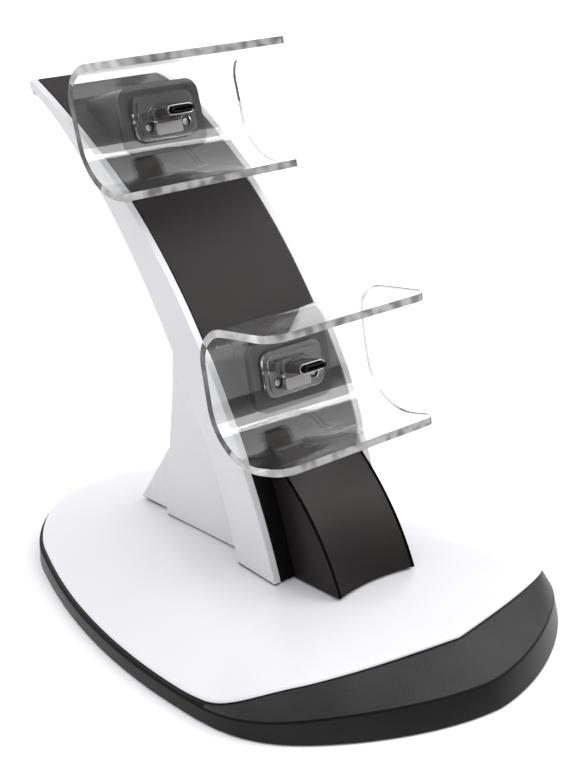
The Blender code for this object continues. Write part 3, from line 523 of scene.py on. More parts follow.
def wear_group():
    """Rubbed edges: a mask that is strong on outer edges, broken up by noise."""
    tree, given, out = new_group("Rubbed edges", (("Amount", 0.4), ("Patch size", 3.0)), (("Mask", FLOAT),))
    edge = node(tree, "NewGeometry").outputs["Pointiness"]
    sharp = node(tree, "MapRange", {"Value": edge, "From Min": 0.53, "From Max": 0.62}).outputs[0]
    patch = node(tree, "TexNoise", {"Vector": in_mm(tree, given["Patch size"]), "Scale": 1.0,
                                    "Detail": 4.0}).outputs[0]
    broken = node(tree, "MapRange", {"Value": patch, "From Min": 0.35, "From Max": 0.65}).outputs[0]
    mask = maths(tree, "MULTIPLY", maths(tree, "MULTIPLY", sharp, broken), given["Amount"], clamp=True)
    tree.links.new(mask, out["Mask"])
    return tree


def dust_group():
    """Thin dust that settles on faces that look up."""
    tree, given, out = new_group("Settled dust", (("Amount", 0.05), ("Patch size", 9.0)), (("Mask", FLOAT),))
    upward = node(tree, "SeparateXYZ", {0: node(tree, "NewGeometry").outputs["Normal"]}).outputs["Z"]
    facing = node(tree, "MapRange", {"Value": upward, "From Min": 0.2, "From Max": 1.0}).outputs[0]
    patch = node(tree, "TexNoise", {"Vector": in_mm(tree, given["Patch size"]), "Scale": 1.0,
                                    "Detail": 6.0, "Roughness": 0.7}).outputs[0]
    settled = maths(tree, "MULTIPLY", maths(tree, "MULTIPLY", facing, patch), given["Amount"])
    tree.links.new(settled, out["Mask"])
    return tree


def brushed_group():
    """Fine lines drawn along X, for plated and cut surfaces."""
    tree, given, out = new_group("Drawn lines", (("Line width", 0.12), ("Line length", 5.0)),
                                 (("Lines", FLOAT),))
    place = in_mm(tree, 1.0)
    across = maths(tree, "DIVIDE", 1.0, given["Line width"])
    along = maths(tree, "DIVIDE", 1.0, given["Line length"])
    stretch = node(tree, "CombineXYZ", {0: along, 1: across, 2: across}).outputs[0]
    drawn = node(tree, "VectorMath", {0: place, 1: stretch}, operation="MULTIPLY").outputs[0]
    lines = node(tree, "TexNoise", {"Vector": drawn, "Scale": 1.0, "Detail": 3.0}).outputs[0]
    tree.links.new(lines, out["Lines"])
    return tree


GRAIN = grain_group()
WEAR = wear_group()
DUST = dust_group()
LINES = brushed_group()
DUST_COLOUR = (0.62, 0.61, 0.58, 1.0)
DUST_DULLING = 0.6               # roughness that full dust adds
LINE_DEPTH = 0.6                 # depth of drawn lines, as a share of the grain's
UNEVEN_GLOSS = 0.08
UNEVEN_CLEAR = 0.04
CLEAR_DRIFT = 0.03
COAT_ROUGHNESS = 0.12
ACRYLIC_IOR = 1.49


def placed_group(tree, group, values):
    made = tree.nodes.new("ShaderNodeGroup")
    made.node_tree = group
    for label, value in values.items():
        made.inputs[label].default_value = value
    return made


def mixed(tree, mask, first, second, blend="MIX"):
    made = node(tree, "Mix", data_type="RGBA", blend_type=blend)
    for index, value in ((0, mask), (6, first), (7, second)):
        if isinstance(value, bpy.types.NodeSocket):
            tree.links.new(value, made.inputs[index])
        else:
            made.inputs[index].default_value = value
    return made.outputs[2]


def new_material(name):
    made = bpy.data.materials.new(name)
    made.use_nodes = True
    return made, made.node_tree, made.node_tree.nodes["Principled BSDF"]


def toned(tree, texture, colour):
    """Colour multiplied by the drifting tone of a placed grain group."""
    tone = texture.outputs["Tone"]
    grey = node(tree, "CombineColor", {0: tone, 1: tone, 2: tone}).outputs[0]
    return mixed(tree, 1.0, (*colour, 1.0), grey, "MULTIPLY")


def relief(tree, height, depth):
    """Bump of a depth in mm."""
    return node(tree, "Bump", {"Strength": 1.0, "Distance": depth * MM, "Height": height}).outputs[0]


def surface(name, colour, roughness, grain=(0.4, 0.02), drift=0.06, metallic=0.0, specular=0.5, coat=0.0,
            wear=(0.3, (0.2, 0.2, 0.2)), dust=0.04, lines=0.0, gloss_tint=(1.0, 1.0, 1.0)):
    """Moulded, painted or plated finish; grain is (size, depth) and wear is (amount, colour)."""
    made, tree, shader = new_material(name)
    texture = placed_group(tree, GRAIN, {"Grain size": grain[0], "Drift": drift})
    base = toned(tree, texture, colour)
    rubbed = placed_group(tree, WEAR, {"Amount": wear[0]}).outputs[0]
    base = mixed(tree, rubbed, base, (*wear[1], 1.0))
    dusty = placed_group(tree, DUST, {"Amount": dust}).outputs[0]
    base = mixed(tree, dusty, base, DUST_COLOUR)
    tree.links.new(base, shader.inputs["Base Color"])
    height = texture.outputs["Height"]
    rough = maths(tree, "MULTIPLY_ADD", maths(tree, "SUBTRACT", height, 0.5), UNEVEN_GLOSS, roughness)
    rough = maths(tree, "ADD", rough, maths(tree, "MULTIPLY", dusty, DUST_DULLING), clamp=True)
    if lines:
        drawn = placed_group(tree, LINES, {}).outputs[0]
        rough = maths(tree, "MULTIPLY_ADD", drawn, lines, rough)
        height = maths(tree, "MULTIPLY_ADD", drawn, LINE_DEPTH, height)
    tree.links.new(rough, shader.inputs["Roughness"])
    tree.links.new(relief(tree, height, grain[1]), shader.inputs["Normal"])
    shader.inputs["Metallic"].default_value = metallic
    shader.inputs["Specular IOR Level"].default_value = specular
    shader.inputs["Specular Tint"].default_value = (*gloss_tint, 1.0)
    shader.inputs["Coat Weight"].default_value = coat
    shader.inputs["Coat Roughness"].default_value = COAT_ROUGHNESS
    return made


def clear_surface(name, roughness, tint, milky, grain, bands=None):
    """Clear plastic; bands give the mottled look of a sawn and scraped edge, their dark tones painted shade
    seen through it.
    """
    made, tree, shader = new_material(name)
    texture = placed_group(tree, GRAIN, {"Grain size": grain[0], "Drift": CLEAR_DRIFT})
    if bands:
        size, dark, light = bands
        patch = node(tree, "TexNoise", {"Vector": in_mm(tree, size), "Scale": 1.0, "Detail": 0.6,
                                        "Roughness": 0.5}).outputs[0]
        share = node(tree, "MapRange", {"Value": patch, "From Min": 0.28, "From Max": 0.66},
                     interpolation_type="SMOOTHSTEP").outputs[0]
        base = mixed(tree, share, (*dark, 1.0), (*light, 1.0))
    else:
        base = toned(tree, texture, tint)
    tree.links.new(base, shader.inputs["Base Color"])
    height = texture.outputs["Height"]
    rough = maths(tree, "MULTIPLY_ADD", maths(tree, "SUBTRACT", height, 0.5), UNEVEN_CLEAR, roughness)
    tree.links.new(maths(tree, "MAXIMUM", rough, 0.0), shader.inputs["Roughness"])
    tree.links.new(relief(tree, height, grain[1]), shader.inputs["Normal"])
    shader.inputs["Transmission Weight"].default_value = 1.0 - milky
    shader.inputs["IOR"].default_value = ACRYLIC_IOR
    return made


charcoal_case = surface("textured charcoal case", (0.0165, 0.0158, 0.0158), 0.42, grain=(0.45, 0.1),
                        drift=0.5, specular=0.22, wear=(0.3, (0.1, 0.098, 0.095)), dust=0.01)
# the band is smooth, and its darker colour is painted shade
smooth_band_painted_shade = surface("smooth black case band, darker as painted shade", (0.007, 0.0065, 0.0068), 0.34, grain=(0.4, 0.01), drift=0.3,
                    specular=0.18, wear=(0.3, (0.06, 0.058, 0.058)), dust=0.0)
white_cover = surface("satin white cover", (0.658, 0.655, 0.682), 0.3, grain=(1.6, 0.005), drift=0.02,
                      wear=(0.1, (0.7, 0.7, 0.72)), dust=0.01, coat=0.1)
silver_paint = surface("silver paint", (0.56, 0.56, 0.57), 0.4, grain=(0.25, 0.01), drift=0.04, metallic=0.12,
                       wear=(0.3, (0.75, 0.75, 0.76)), dust=0.02, coat=0.1)
charcoal_face = surface("satin charcoal facing", (0.012, 0.0108, 0.0105), 0.45, grain=(0.3, 0.015), drift=0.2,
                        specular=0.16, wear=(0.3, (0.08, 0.078, 0.078)), dust=0.01,
                        gloss_tint=(1.0, 0.93, 0.92))
black_block = surface("satin black block", (0.0098, 0.0083, 0.0083), 0.36, grain=(0.4, 0.012), drift=0.2,
                      specular=0.16, wear=(0.3, (0.05, 0.048, 0.048)), dust=0.01,
                      gloss_tint=(1.0, 0.92, 0.92))
# black for the base's seam, and painted shade and shadow: lips under standing pieces, the facing's foot, the
# plug contacts
seam_and_shade_black = surface("matt black seam and painted shade", (0.0022, 0.002, 0.0022), 0.5, grain=(0.4, 0.01), drift=0.3,
                     specular=0.11, wear=(0.1, (0.02, 0.02, 0.02)), dust=0.0)
black_plastic = surface("black connector plastic", (0.014, 0.014, 0.015), 0.32, grain=(0.3, 0.01), drift=0.15,
                        wear=(0.3, (0.08, 0.08, 0.08)), dust=0.02)
nickel = surface("bright nickel", (0.6, 0.59, 0.57), 0.2, grain=(0.3, 0.004), drift=0.05, metallic=1.0,
                 wear=(0.3, (0.9, 0.89, 0.87)), dust=0.0, lines=0.12)
# painted shade on the toe block's rounded front edges
shaded_edge_black = surface("dull black edge, painted shade", (0.001, 0.001, 0.001), 0.7, grain=(0.4, 0.01), drift=0.3,
                     specular=0.02, wear=(0.1, (0.02, 0.02, 0.02)), dust=0.0)
# darker copy of the nickel: painted shade of the plug's dark inside, used on its outside too
shaded_sleeve_metal = surface("nickel sleeve darkened as painted shade", (0.2, 0.19, 0.175), 0.24, grain=(0.3, 0.004), drift=0.08,
                       metallic=1.0, wear=(0.6, (0.6, 0.59, 0.57)), dust=0.0, lines=0.12)
screw_steel = surface("plated screw steel", (0.42, 0.42, 0.43), 0.28, grain=(0.2, 0.008), drift=0.1,
                      metallic=1.0, wear=(0.5, (0.7, 0.7, 0.7)), dust=0.0, lines=0.1)
ballast_steel = surface("cast ballast steel", (0.3, 0.29, 0.28), 0.5, grain=(0.8, 0.06), drift=0.3,
                        metallic=1.0, wear=(0.5, (0.5, 0.5, 0.5)), dust=0.05, lines=0.1)
soft_rubber = surface("soft rubber", (0.02, 0.02, 0.02), 0.85, grain=(0.3, 0.05), drift=0.3,
                      wear=(0.3, (0.07, 0.07, 0.07)), dust=0.05)
board_green = surface("green circuit board", (0.015, 0.11, 0.05), 0.38, grain=(0.9, 0.03), drift=0.4,
                      wear=(0.8, (0.5, 0.42, 0.2)), dust=0.02)
lead_cover = surface("black lead cover", (0.015, 0.015, 0.015), 0.5, grain=(0.25, 0.02), drift=0.2,
                     wear=(0.2, (0.06, 0.06, 0.06)), dust=0.02)
clear_sheet = clear_surface("clear bent sheet", 0.0, (0.985, 0.99, 0.985), 0.01, (9.0, 0.004))
clear_moulded = clear_surface("clear moulded frame", 0.02, (0.86, 0.865, 0.865), 0.02, (3.0, 0.01))
# darker copy of the clear frame: painted shade that hides the glints of its outer walls
shaded_frame_wall = clear_surface("moulded frame wall, painted shade", 0.2, (0.4, 0.395, 0.39), 0.1, (3.0, 0.01))
frosted_bar = clear_surface("frosted clear bar", 0.35, (0.84, 0.8, 0.79), 0.32, (0.6, 0.01))
sawn_edge = clear_surface("sawn clear side edge", 0.2, (0.9, 0.9, 0.88), 0.45, (2.0, 0.01),
                          (3.0, (0.62, 0.615, 0.6), (1.0, 0.995, 0.98)))
# darker copies of the sawn edge: painted shade where dark parts show through
sawn_front_shaded = clear_surface("sawn clear front edge, painted shade", 0.2, (0.9, 0.9, 0.88), 0.5, (2.0, 0.01),
                           (3.2, (0.22, 0.217, 0.21), (0.64, 0.635, 0.62)))
sawn_wall_shaded = clear_surface("sawn clear wall edge, painted shade", 0.2, (0.9, 0.9, 0.88), 0.5, (2.0, 0.01),
                          (3.2, (0.05, 0.05, 0.048), (0.22, 0.218, 0.21)))

NODE_FINISHES = {
    "rubber": soft_rubber,
    "steel": nickel,
    "dark_steel": screw_steel,
    "board_green": board_green,
    "lead_black": lead_cover,
    "black_gloss": black_plastic,
    "black_case": charcoal_case,
    "face_black": charcoal_face,
    "white_case": white_cover,
    "silver": silver_paint,
    "clear": clear_moulded,
}


# base
foot = plan_outline(FOOT_OUTLINE)
rim = plan_outline(RIM_OUTLINE)
mid = [(x, y + BAND_LEAN * smoothstep(y, FRONT_START_Y, FRONT_TIP_Y)) for x, y in foot]


def on_level(points, height):
    return [(x, y, height) for x, y in points]


def follow(points, reference, height, rise=0.0):
    return [(x, y, height(ref[1]) + rise) for (x, y), ref in zip(points, reference)]


def columns_to_rings(rings, radius):
    """Rings with the profile at every outline point rounded between them."""
    columns = [soften(column, radius) for column in zip(*rings)]
    return [list(ring) for ring in zip(*columns)]


def upright(x, y, radius, low, high, sides=36):
    mesh = lathe(((radius, low), (radius, high)), sides)
    mesh.transform(Matrix.Translation((x * MM, y * MM, 0.0)))
    return mesh


def base_finish(side):
    """Material number of a face of the case: chamfer and inside, band (smooth, and darker as painted shade),
    seam.
    """
    middle = side.calc_center_median() / MM
    above_seam = middle.z - mid_height(middle.y)
    if abs(above_seam) < SEAM_HALF_HEIGHT:
        return 2
    return 1 if above_seam < 0 and abs(side.normal.z) < 0.5 else 0


def base_moulding():
    wall, floor = INNER_COVE
    rings = columns_to_rings([
        on_level(inset(foot, UNDERSIDE_INSET), SHELL_BOTTOM_Z),
        on_level(foot, SHELL_BOTTOM_Z),
        follow(mid, mid, mid_height),
        follow(rim, rim, rim_height, -GAP),
        follow(inset(rim, SHELL_WALL), rim, rim_height, -GAP),
        follow(inset(mid, SHELL_WALL + INNER_LEAN), mid, mid_height, -SHELL_WALL / 2),
        on_level(inset(foot, SHELL_WALL + wall), FLOOR_TOP_Z),
        on_level(inset(foot, SHELL_WALL + floor), FLOOR_TOP_Z),
    ], SHELL_EDGE_ROUND)
    bosses = [upright(x, y, BOSS_RADIUS, FLOOR_TOP_Z - BOSS_ROOT, BOSS_TOP_Z) for _, x, y in FLOOR_SCREWS]
    cutters = [upright(x, y, FOOT_RADIUS + GAP, -OVERRUN, FOOT_THICKNESS + GAP) for x, y in FOOT_PLACES]
    for _, x, y in FLOOR_SCREWS:
        cutters.append(upright(x, y, COUNTERBORE_RADIUS, -OVERRUN, COUNTERBORE_TOP_Z))
        cutters.append(upright(x, y, SCREW_RADIUS + GAP, -OVERRUN, BOSS_TOP_Z + OVERRUN))
    socket_hole = oblong(*SOCKET_HOLE)
    mouth = hole_through(socket_hole, SOCKET_CUT - SOCKET_MOUTH_Y, -SOCKET_CUT - SOCKET_MOUTH_Y)
    mouth.transform(Matrix.Translation((0.0, 0.0, SOCKET_Z * MM)))
    cutters.append(mouth)
    mesh = carved("base_moulding", loft(rings), cutters, bosses)
    for side in mesh.faces:
        side.material_index = base_finish(side)
    piece("base_moulding", mesh, [charcoal_case, smooth_band_painted_shade, seam_and_shade_black], ["base_shell"],
          round_edges=0.0, angle=40.0)


def dome_point(x, y, share, drop=0.0):
    heading = Vector((x, y - DOME_CENTRE_Y)).normalized()
    power = DOME_SIDE_POWER + DOME_END_EXTRA * heading.y ** 2
    edge = rim_height(y) + LIP_HEIGHT
    height = DECK_Z - (DECK_Z - edge) * share ** power
    return (x * share, DOME_CENTRE_Y + (y - DOME_CENTRE_Y) * share, height - drop)


def dome_ring(share, drop=0.0):
    return [dome_point(x, y, share, drop) for x, y in rim]


def top_cover():
    shares = [1.0 - (step / DOME_RINGS) ** DOME_CROWDING for step in range(1, DOME_RINGS)]
    lip = columns_to_rings([
        dome_ring(DOME_UNDERSIDE_EDGE, PLATE_THICKNESS),
        follow(inset(rim, SHELL_WALL + LIP_INSET), rim, rim_height),
        follow(rim, rim, rim_height),
        follow(rim, rim, rim_height, LIP_HEIGHT),
        dome_ring(shares[0]),
    ], LIP_ROUND)
    below = [dome_ring(share, PLATE_THICKNESS) for share in DOME_UNDERSIDE]
    above = [dome_ring(share) for share in shares[1:]]
    piece("top_cover", loft(below + lip + above), [white_cover], ["base_top_plate"],
          round_edges=0.0)


def rubber_feet():
    profile = [(FOOT_RADIUS - inward, up) for inward, up in FOOT_EDGE] + [(FOOT_RADIUS, FOOT_THICKNESS)]
    for number, (x, y) in enumerate(FOOT_PLACES, 1):
        piece(f"foot_pad_{number}", lathe(profile, 48), [soft_rubber], [f"rubber_foot_{number}"],
              round_edges=0.0, place=Matrix.Translation((x * MM, y * MM, 0.0)))


def cross_recess(width, depth, top):
    """Two crossed bars to cut out of a screw head whose top is at a height."""
    bars = []
    for half_x, half_y in ((width / 2, width * RECESS_BAR), (width * RECESS_BAR, width / 2)):
        bars.append(box_mesh((-half_x, -half_y, top - depth), (half_x, half_y, top + OVERRUN)))
    return bars


def screw_mesh(head_radius, head_height, radius, length, dome):
    """Screw with its head up and the underside of the head at the origin."""
    top = head_height + dome
    edge_low, edge_high = (share * head_height for share in HEAD_EDGE)
    profile = [(radius * POINT_RADIUS, -length), (radius, -length + radius * POINT_LENGTH), (radius, 0.0),
               (head_radius * HEAD_SEAT, 0.0), (head_radius, edge_low), (head_radius, edge_high)]
    for step in range(1, CROWN_STEPS + 1):
        angle = math.pi / 2 * step / CROWN_STEPS
        profile.append((head_radius * (HEAD_CROWN + (1 - HEAD_CROWN) * math.cos(angle)),
                        edge_high + (top - edge_high) * math.sin(angle)))
    recess = cross_recess(head_radius * RECESS_WIDTH, head_height * RECESS_DEPTH, top)
    return carved("screw", lathe(profile, 36), recess)


def floor_screws():
    seat = COUNTERBORE_TOP_Z - GAP
    for node_name, x, y in FLOOR_SCREWS:
        _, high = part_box(node_name)
        mesh = screw_mesh(SCREW_HEAD_RADIUS, SCREW_HEAD_HEIGHT, SCREW_RADIUS, high[2] / MM - seat, 0.0)
        place = Matrix.Translation((x * MM, y * MM, seat * MM)) @ Matrix.Rotation(math.pi, 4, "X")
        piece(f"turned_{node_name}", mesh, [screw_steel], [node_name], 0.0, place)


def input_socket():
    outer = oblong(*SOCKET_SIZE)
    inner = oblong(SOCKET_SIZE[0] - 2 * SKIN, SOCKET_SIZE[1] - 2 * SKIN)
    rear = -SOCKET_MOUTH_Y + SOCKET_LENGTH
    rings = along_plug([(outer, rear), (outer, -SOCKET_MOUTH_Y), (inner, -SOCKET_MOUTH_Y),
                        (inner, rear - SKIN)])
    place = Matrix.Translation((0.0, 0.0, SOCKET_Z * MM))
    piece("power_socket_shell", loft(rings), [nickel], ["input_socket_shell"], 0.08, place)


# swept blade and what stands by it
face = blade_curve(FACE_START, FACE_END)
back = blade_curve(BACK_START, BACK_END)
face_foot = raised(face, STAND_Z)
back_foot = raised(back, STAND_Z)


def across(share, height, narrower=0.0):
    """Half width of the blade at a height, from its face (0) to its back (1)."""
    foot_share = FACE_FOOT_SHARE + (BACK_FOOT_SHARE - FACE_FOOT_SHARE) * share
    rise = min(max((height - DECK_Z) / (FULL_WIDTH_Z - DECK_Z), 0.0), 1.0)
    return BLADE_HALF_WIDTH * (foot_share + (1.0 - foot_share) * rise) - narrower


def frame_ring(front, rear, inner_share):
    """Cross section of the blade: two side walls and a back round an open channel."""
    inner = tuple(Vector(front).lerp(Vector(rear), inner_share))
    wide = across(0.0, front[1])
    half = ((wide, front), (across(1.0, front[1]), rear), (across(inner_share, front[1], SIDE_WALL), inner),
            (wide - SIDE_WALL, front))
    left = [(-x, *point) for x, point in half]
    right = [(x, *point) for x, point in half]
    return [left[0], left[1], right[1], right[0], right[3], right[2], left[2], left[3]]


def painted_shadow_lip(mesh, depth):
    """Black lip let in under a piece that stands on the cover, as painted shadow of the gap beneath it."""
    bottom = [side for side in mesh.faces if side.normal.z < -FLAT]
    bmesh.ops.inset_region(mesh, faces=bottom, thickness=LIP_SIDE * MM)
    wall = bmesh.ops.inset_region(mesh, faces=bottom, thickness=LIP_LEAN * MM, depth=depth * MM)["faces"]
    # the lip's black is painted shadow under the piece
    for side in wall + bottom:
        side.material_index = 1


def blade_frame():
    rings = []
    for front, rear in zip(face_foot, back_foot):
        thickness = (Vector(rear) - Vector(front)).length
        depth = max(PANEL_THICKNESS + GAP, thickness - BACK_WALL)
        most = THIN_CHANNEL if thickness < THIN_BLADE else 1.0
        rings.append(frame_ring(front, rear, min(depth / thickness, most)))
    rings.append(frame_ring(*BLADE_TIP, TIP_CHANNEL))
    mesh = loft(rings)
    painted_shadow_lip(mesh, BLADE_SHADOW_LIP)
    piece("blade_frame", mesh, [silver_paint, seam_and_shade_black], ["arm_shell"], round_edges=0.3)


def station_place(wall_y, wall_z, tilt):
    return Matrix.Translation((0.0, wall_y * MM, wall_z * MM)) @ Matrix.Rotation(-math.radians(tilt), 4, "X")


def blade_facing():
    rings = []
    rear_path = raised(offset_path(face, -PANEL_THICKNESS), STAND_Z)
    rear_path = rear_path[:1] + rear_path[-(len(face_foot) - 1):]
    for front, rear in zip(face_foot, rear_path):
        wide = across(0.0, front[1], SIDE_WALL + GAP)
        rings.append([(-wide, *front), (wide, *front), (wide, *rear), (-wide, *rear)])
    windows = []
    for _, wall_y, wall_z, tilt, _ in STATIONS:
        window = box_mesh((-WINDOW_HALF_WIDTH, WINDOW_REACH[0], WINDOW_LOW),
                          (WINDOW_HALF_WIDTH, WINDOW_REACH[1], WINDOW_HIGH))
        window.transform(station_place(wall_y, wall_z, tilt))
        windows.append(window)
    mesh = carved("blade_facing", loft(rings), windows)
    # the facing's foot beside the block takes the black as painted shade
    for side in mesh.faces:
        in_painted_shade = side.calc_center_median().z < (BLOCK_TOP_Z - SHADED_FOOT_DROP) * MM
        side.material_index = 1 if in_painted_shade else 0
    piece("blade_facing", mesh, [charcoal_face, seam_and_shade_black], ["arm_front_panel"],
          round_edges=0.18)


def slab(outline, half_width):
    return loft([[(x, y, z) for y, z in outline] for x in (-half_width, half_width)])


def support_column():
    behind = [p for p in raised(offset_path(back, -GAP), STAND_Z) if p[1] < COLUMN_TOP_Z]
    rear = soften([behind[-1]] + list(reversed(COLUMN_REAR)), COLUMN_BEND, COLUMN_BEND_STEPS)[1:]
    mesh = slab(behind + [tuple(p) for p in rear], CORE_HALF_WIDTH)
    painted_shadow_lip(mesh, REAR_SHADOW_LIP)
    piece("support_column", mesh, [silver_paint, seam_and_shade_black], ["column"], round_edges=0.35)


def rear_gusset():
    (low_y, low_z), (high_y, high_z) = COLUMN_REAR[:2]
    share = (FIN_APEX[1] - low_z) / (high_z - low_z)
    front_low = (low_y + GAP, STAND_Z)
    front_high = (low_y + (high_y - low_y) * share + GAP, FIN_APEX[1])
    mesh = slab([front_low, (FIN_REAR_Y, STAND_Z), FIN_APEX, front_high], FIN_HALF_WIDTH)
    painted_shadow_lip(mesh, REAR_SHADOW_LIP)
    piece("rear_gusset", mesh, [silver_paint, seam_and_shade_black], ["rear_fin"], round_edges=0.35)


def block_arc(dish):
    """Front of the block from its foot up, dished most at the foot."""
    first, last = (math.asin((z - BLOCK_ARC_CENTRE[1]) / BLOCK_ARC_RADIUS) for z in (STAND_Z, BLOCK_TOP_Z))
    arc = []
    for step in range(BLOCK_ARC_STEPS + 1):
        share = step / BLOCK_ARC_STEPS
        angle = first + (last - first) * share
        arc.append((BLOCK_ARC_CENTRE[0] - BLOCK_ARC_RADIUS * math.cos(angle) + dish * (1 - share),
                    BLOCK_ARC_CENTRE[1] + BLOCK_ARC_RADIUS * math.sin(angle)))
    return arc


def toe_block():
    behind = [p for p in raised(offset_path(face, GAP), STAND_Z) if p[1] < BLOCK_TOP_Z]
    rings = []
    for strip in range(-BLOCK_STRIPS, BLOCK_STRIPS + 1):
        share = strip / BLOCK_STRIPS
        outline = block_arc(BLOCK_DISH * (1 - share ** 2)) + list(reversed(behind))
        rings.append([(CORE_HALF_WIDTH * share, y, z) for y, z in outline])
    mesh = loft(rings)
    last_strip = CORE_HALF_WIDTH * MM * (BLOCK_STRIPS - 1) / BLOCK_STRIPS
    # the outer strips take the black of painted shade
    for side in mesh.faces:
        at_shaded_edge = abs(side.calc_center_median().x) > last_strip and abs(side.normal.x) < FLAT
        side.material_index = 1 if at_shaded_edge else 0
    piece("toe_block", mesh, [black_block, shaded_edge_black], ["front_block"], round_edges=0.5)


# cradles and connectors
def bent_path(points, radii, steps):
    """Path in (forward, up) with its inner corners bent to given radii."""
    path = [points[0]]
    for index, radius in enumerate(radii, 1):
        corner = Vector(points[index])
        into = (Vector(points[index - 1]) - corner).normalized()
        out = (Vector(points[index + 1]) - corner).normalized()
        half = into.angle(out) / 2
        middle = corner + (into + out).normalized() * radius / math.sin(half)
        start = corner + into * radius / math.tan(half) - middle
        end = corner + out * radius / math.tan(half) - middle
        sweep = start.angle_signed(end)
        for step in range(steps + 1):
            turned = Matrix.Rotation(-sweep * step / steps, 2) @ start
            path.append(tuple(middle + turned))
    path.append(points[-1])
    return path


def cradle_sheet(path):
    outer = [(-u, v) for u, v in bent_path(path, CRADLE_BENDS, BEND_STEPS)]
    inner = offset_path(outer, -SHEET)
    half = CRADLE_WIDTH / 2
    rings = []
    for (y0, z0), (y1, z1) in zip(outer, inner):
        rings.append([(-half, y0, z0), (half, y0, z0), (half, y1, z1), (-half, y1, z1)])
    mesh = loft(rings)
    mesh.verts.ensure_lookup_table()
    ends = (set(mesh.verts[:4]), set(mesh.verts[-4:]))
    tips = []
    for edge in mesh.edges:
        along_thickness = abs(edge.verts[0].co.x - edge.verts[1].co.x) < 1e-6
        if along_thickness and any(set(edge.verts) <= end for end in ends):
            tips.append(edge)
    bmesh.ops.bevel(mesh, geom=tips, offset=LEG_CORNER_ROUND * MM, segments=9, profile=0.5, affect="EDGES",
                    clamp_overlap=True)
    return mesh


def sheet_finish(side):
    """Material number of a face of the sheet: clear, side edge, and the leg tip and wall edge darkened as
    painted shade.
    """
    middle = side.calc_center_median() / MM
    on_side = abs(side.normal.x) > 0.3 and abs(middle.x) > CRADLE_WIDTH / 2 - LEG_CORNER_ROUND
    polished = on_side and side.normal.x > 0
    if not polished and middle.y < SHEET_TIP_Y and side.normal.y < -0.6:
        return 2
    if not on_side or polished:
        return 0
    on_wall = middle.y > -SHEET - WALL_EDGE
    in_lower_bend = middle.y > BEND_EDGE_Y and middle.z < 0
    return 3 if on_wall or in_lower_bend else 1


def reach_back(place, x, z):
    """Way from the sheet's back, along the plug, to just short of the blade's face."""
    start = place @ Vector((0.0, GAP * MM, z * MM)) / MM
    ahead = place.to_3x3() @ Vector((0.0, 1.0, 0.0))
    origin = Vector((start.y, start.z))
    way = Vector((ahead.y, ahead.z))
    stop = [Vector(p) for p in offset_path(face, GAP)]
    stop.append(stop[-1] + (stop[-1] - stop[-2]) * 9)
    reach = 0.5
    for a, b in zip(stop, stop[1:]):
        span = b - a
        cross = way.x * span.y - way.y * span.x
        if abs(cross) > 1e-9:
            gap = a - origin
            travel = (gap.x * span.y - gap.y * span.x) / cross
            share = (gap.x * way.y - gap.y * way.x) / cross
            if travel > 0 and 0 <= share <= 1:
                reach = max(reach, travel)
    return reach


def lowered(outline, drop):
    return [(x, z - drop) for x, z in outline]


def housing_mesh(place):
    """Cup that reaches from behind the cradle's wall back to the blade's face."""
    outer = lowered(rounded_rectangle(*HOUSING_SIZE, HOUSING_ROUND, 9), HOUSING_DROP)
    inner = lowered(rounded_rectangle(HOUSING_SIZE[0] - 2 * HOUSING_WALL, HOUSING_SIZE[1] - 2 * HOUSING_WALL,
                                      HOUSING_ROUND - HOUSING_WALL, 9), HOUSING_DROP)
    return loft([
        [(x, -HOUSING_FRONT, z) for x, z in outer],
        [(x, GAP + reach_back(place, x, z), z) for x, z in outer],
        [(x, GAP + max(reach_back(place, x, z), HOUSING_WALL + HOUSING_LEAST_FLOOR), z) for x, z in inner],
        [(x, HOUSING_WALL - HOUSING_FRONT, z) for x, z in inner],
    ])


def round_bore(sign, radius, sides, ends):
    """Round cutter on a sheet screw's axis, left (-1) or right (1) of the plug."""
    ring = []
    for index in range(sides):
        turn = 2 * math.pi * index / sides
        ring.append((sign * CRADLE_SCREW_X + radius * math.cos(turn),
                     CRADLE_SCREW_Z + radius * math.sin(turn)))
    return hole_through(ring, *ends)


def platform_mesh():
    """Clear stepped frame with an oval collar round the plug's root."""
    wide, high = PLATFORM_SIZE
    outer = lowered(rounded_rectangle(wide, high, PLATFORM_ROUND, 9), PLATFORM_DROP)
    step = lowered(rounded_rectangle(wide - 2 * PLATFORM_STEP, high - 2 * PLATFORM_STEP,
                                     PLATFORM_ROUND - PLATFORM_STEP, 9), PLATFORM_DROP)
    collar = oblong(*COLLAR_SIZE, 9)
    hole = oblong(PLUG_SIZE[0] + 2 * GAP, PLUG_SIZE[1] + 2 * GAP, 9)
    ledge = PLATFORM_REAR + PLATFORM_BASE
    rings = along_plug([(outer, PLATFORM_REAR), (outer, ledge), (step, ledge), (step, PLATFORM_FRONT),
                        (collar, PLATFORM_FRONT), (collar, COLLAR_FRONT), (hole, COLLAR_FRONT),
                        (hole, PLATFORM_REAR)])
    rib_outline = lowered(rounded_rectangle(RIB_SIZE[0], RIB_SIZE[1], RIB_ROUND, 6), -RIB_Z)
    rib = hole_through(rib_outline, PLATFORM_FRONT - PLATFORM_HEIGHT / 2, PLATFORM_FRONT + RIB_SIZE[2])
    front = PLATFORM_FRONT + OVERRUN
    cutters = []
    for sign in (-1, 1):
        cutters.append(round_bore(sign, CRADLE_SCREW_CUP, 32, (PLATFORM_FRONT - CUP_DEPTH, front)))
        cutters.append(round_bore(sign, CRADLE_SCREW_SHANK + GAP, 32, (PLATFORM_REAR - OVERRUN, front)))
    mesh = carved("platform", loft(rings, caps=False), cutters, [rib])
    for side in mesh.faces:
        side.material_index = platform_finish(side)
    return mesh


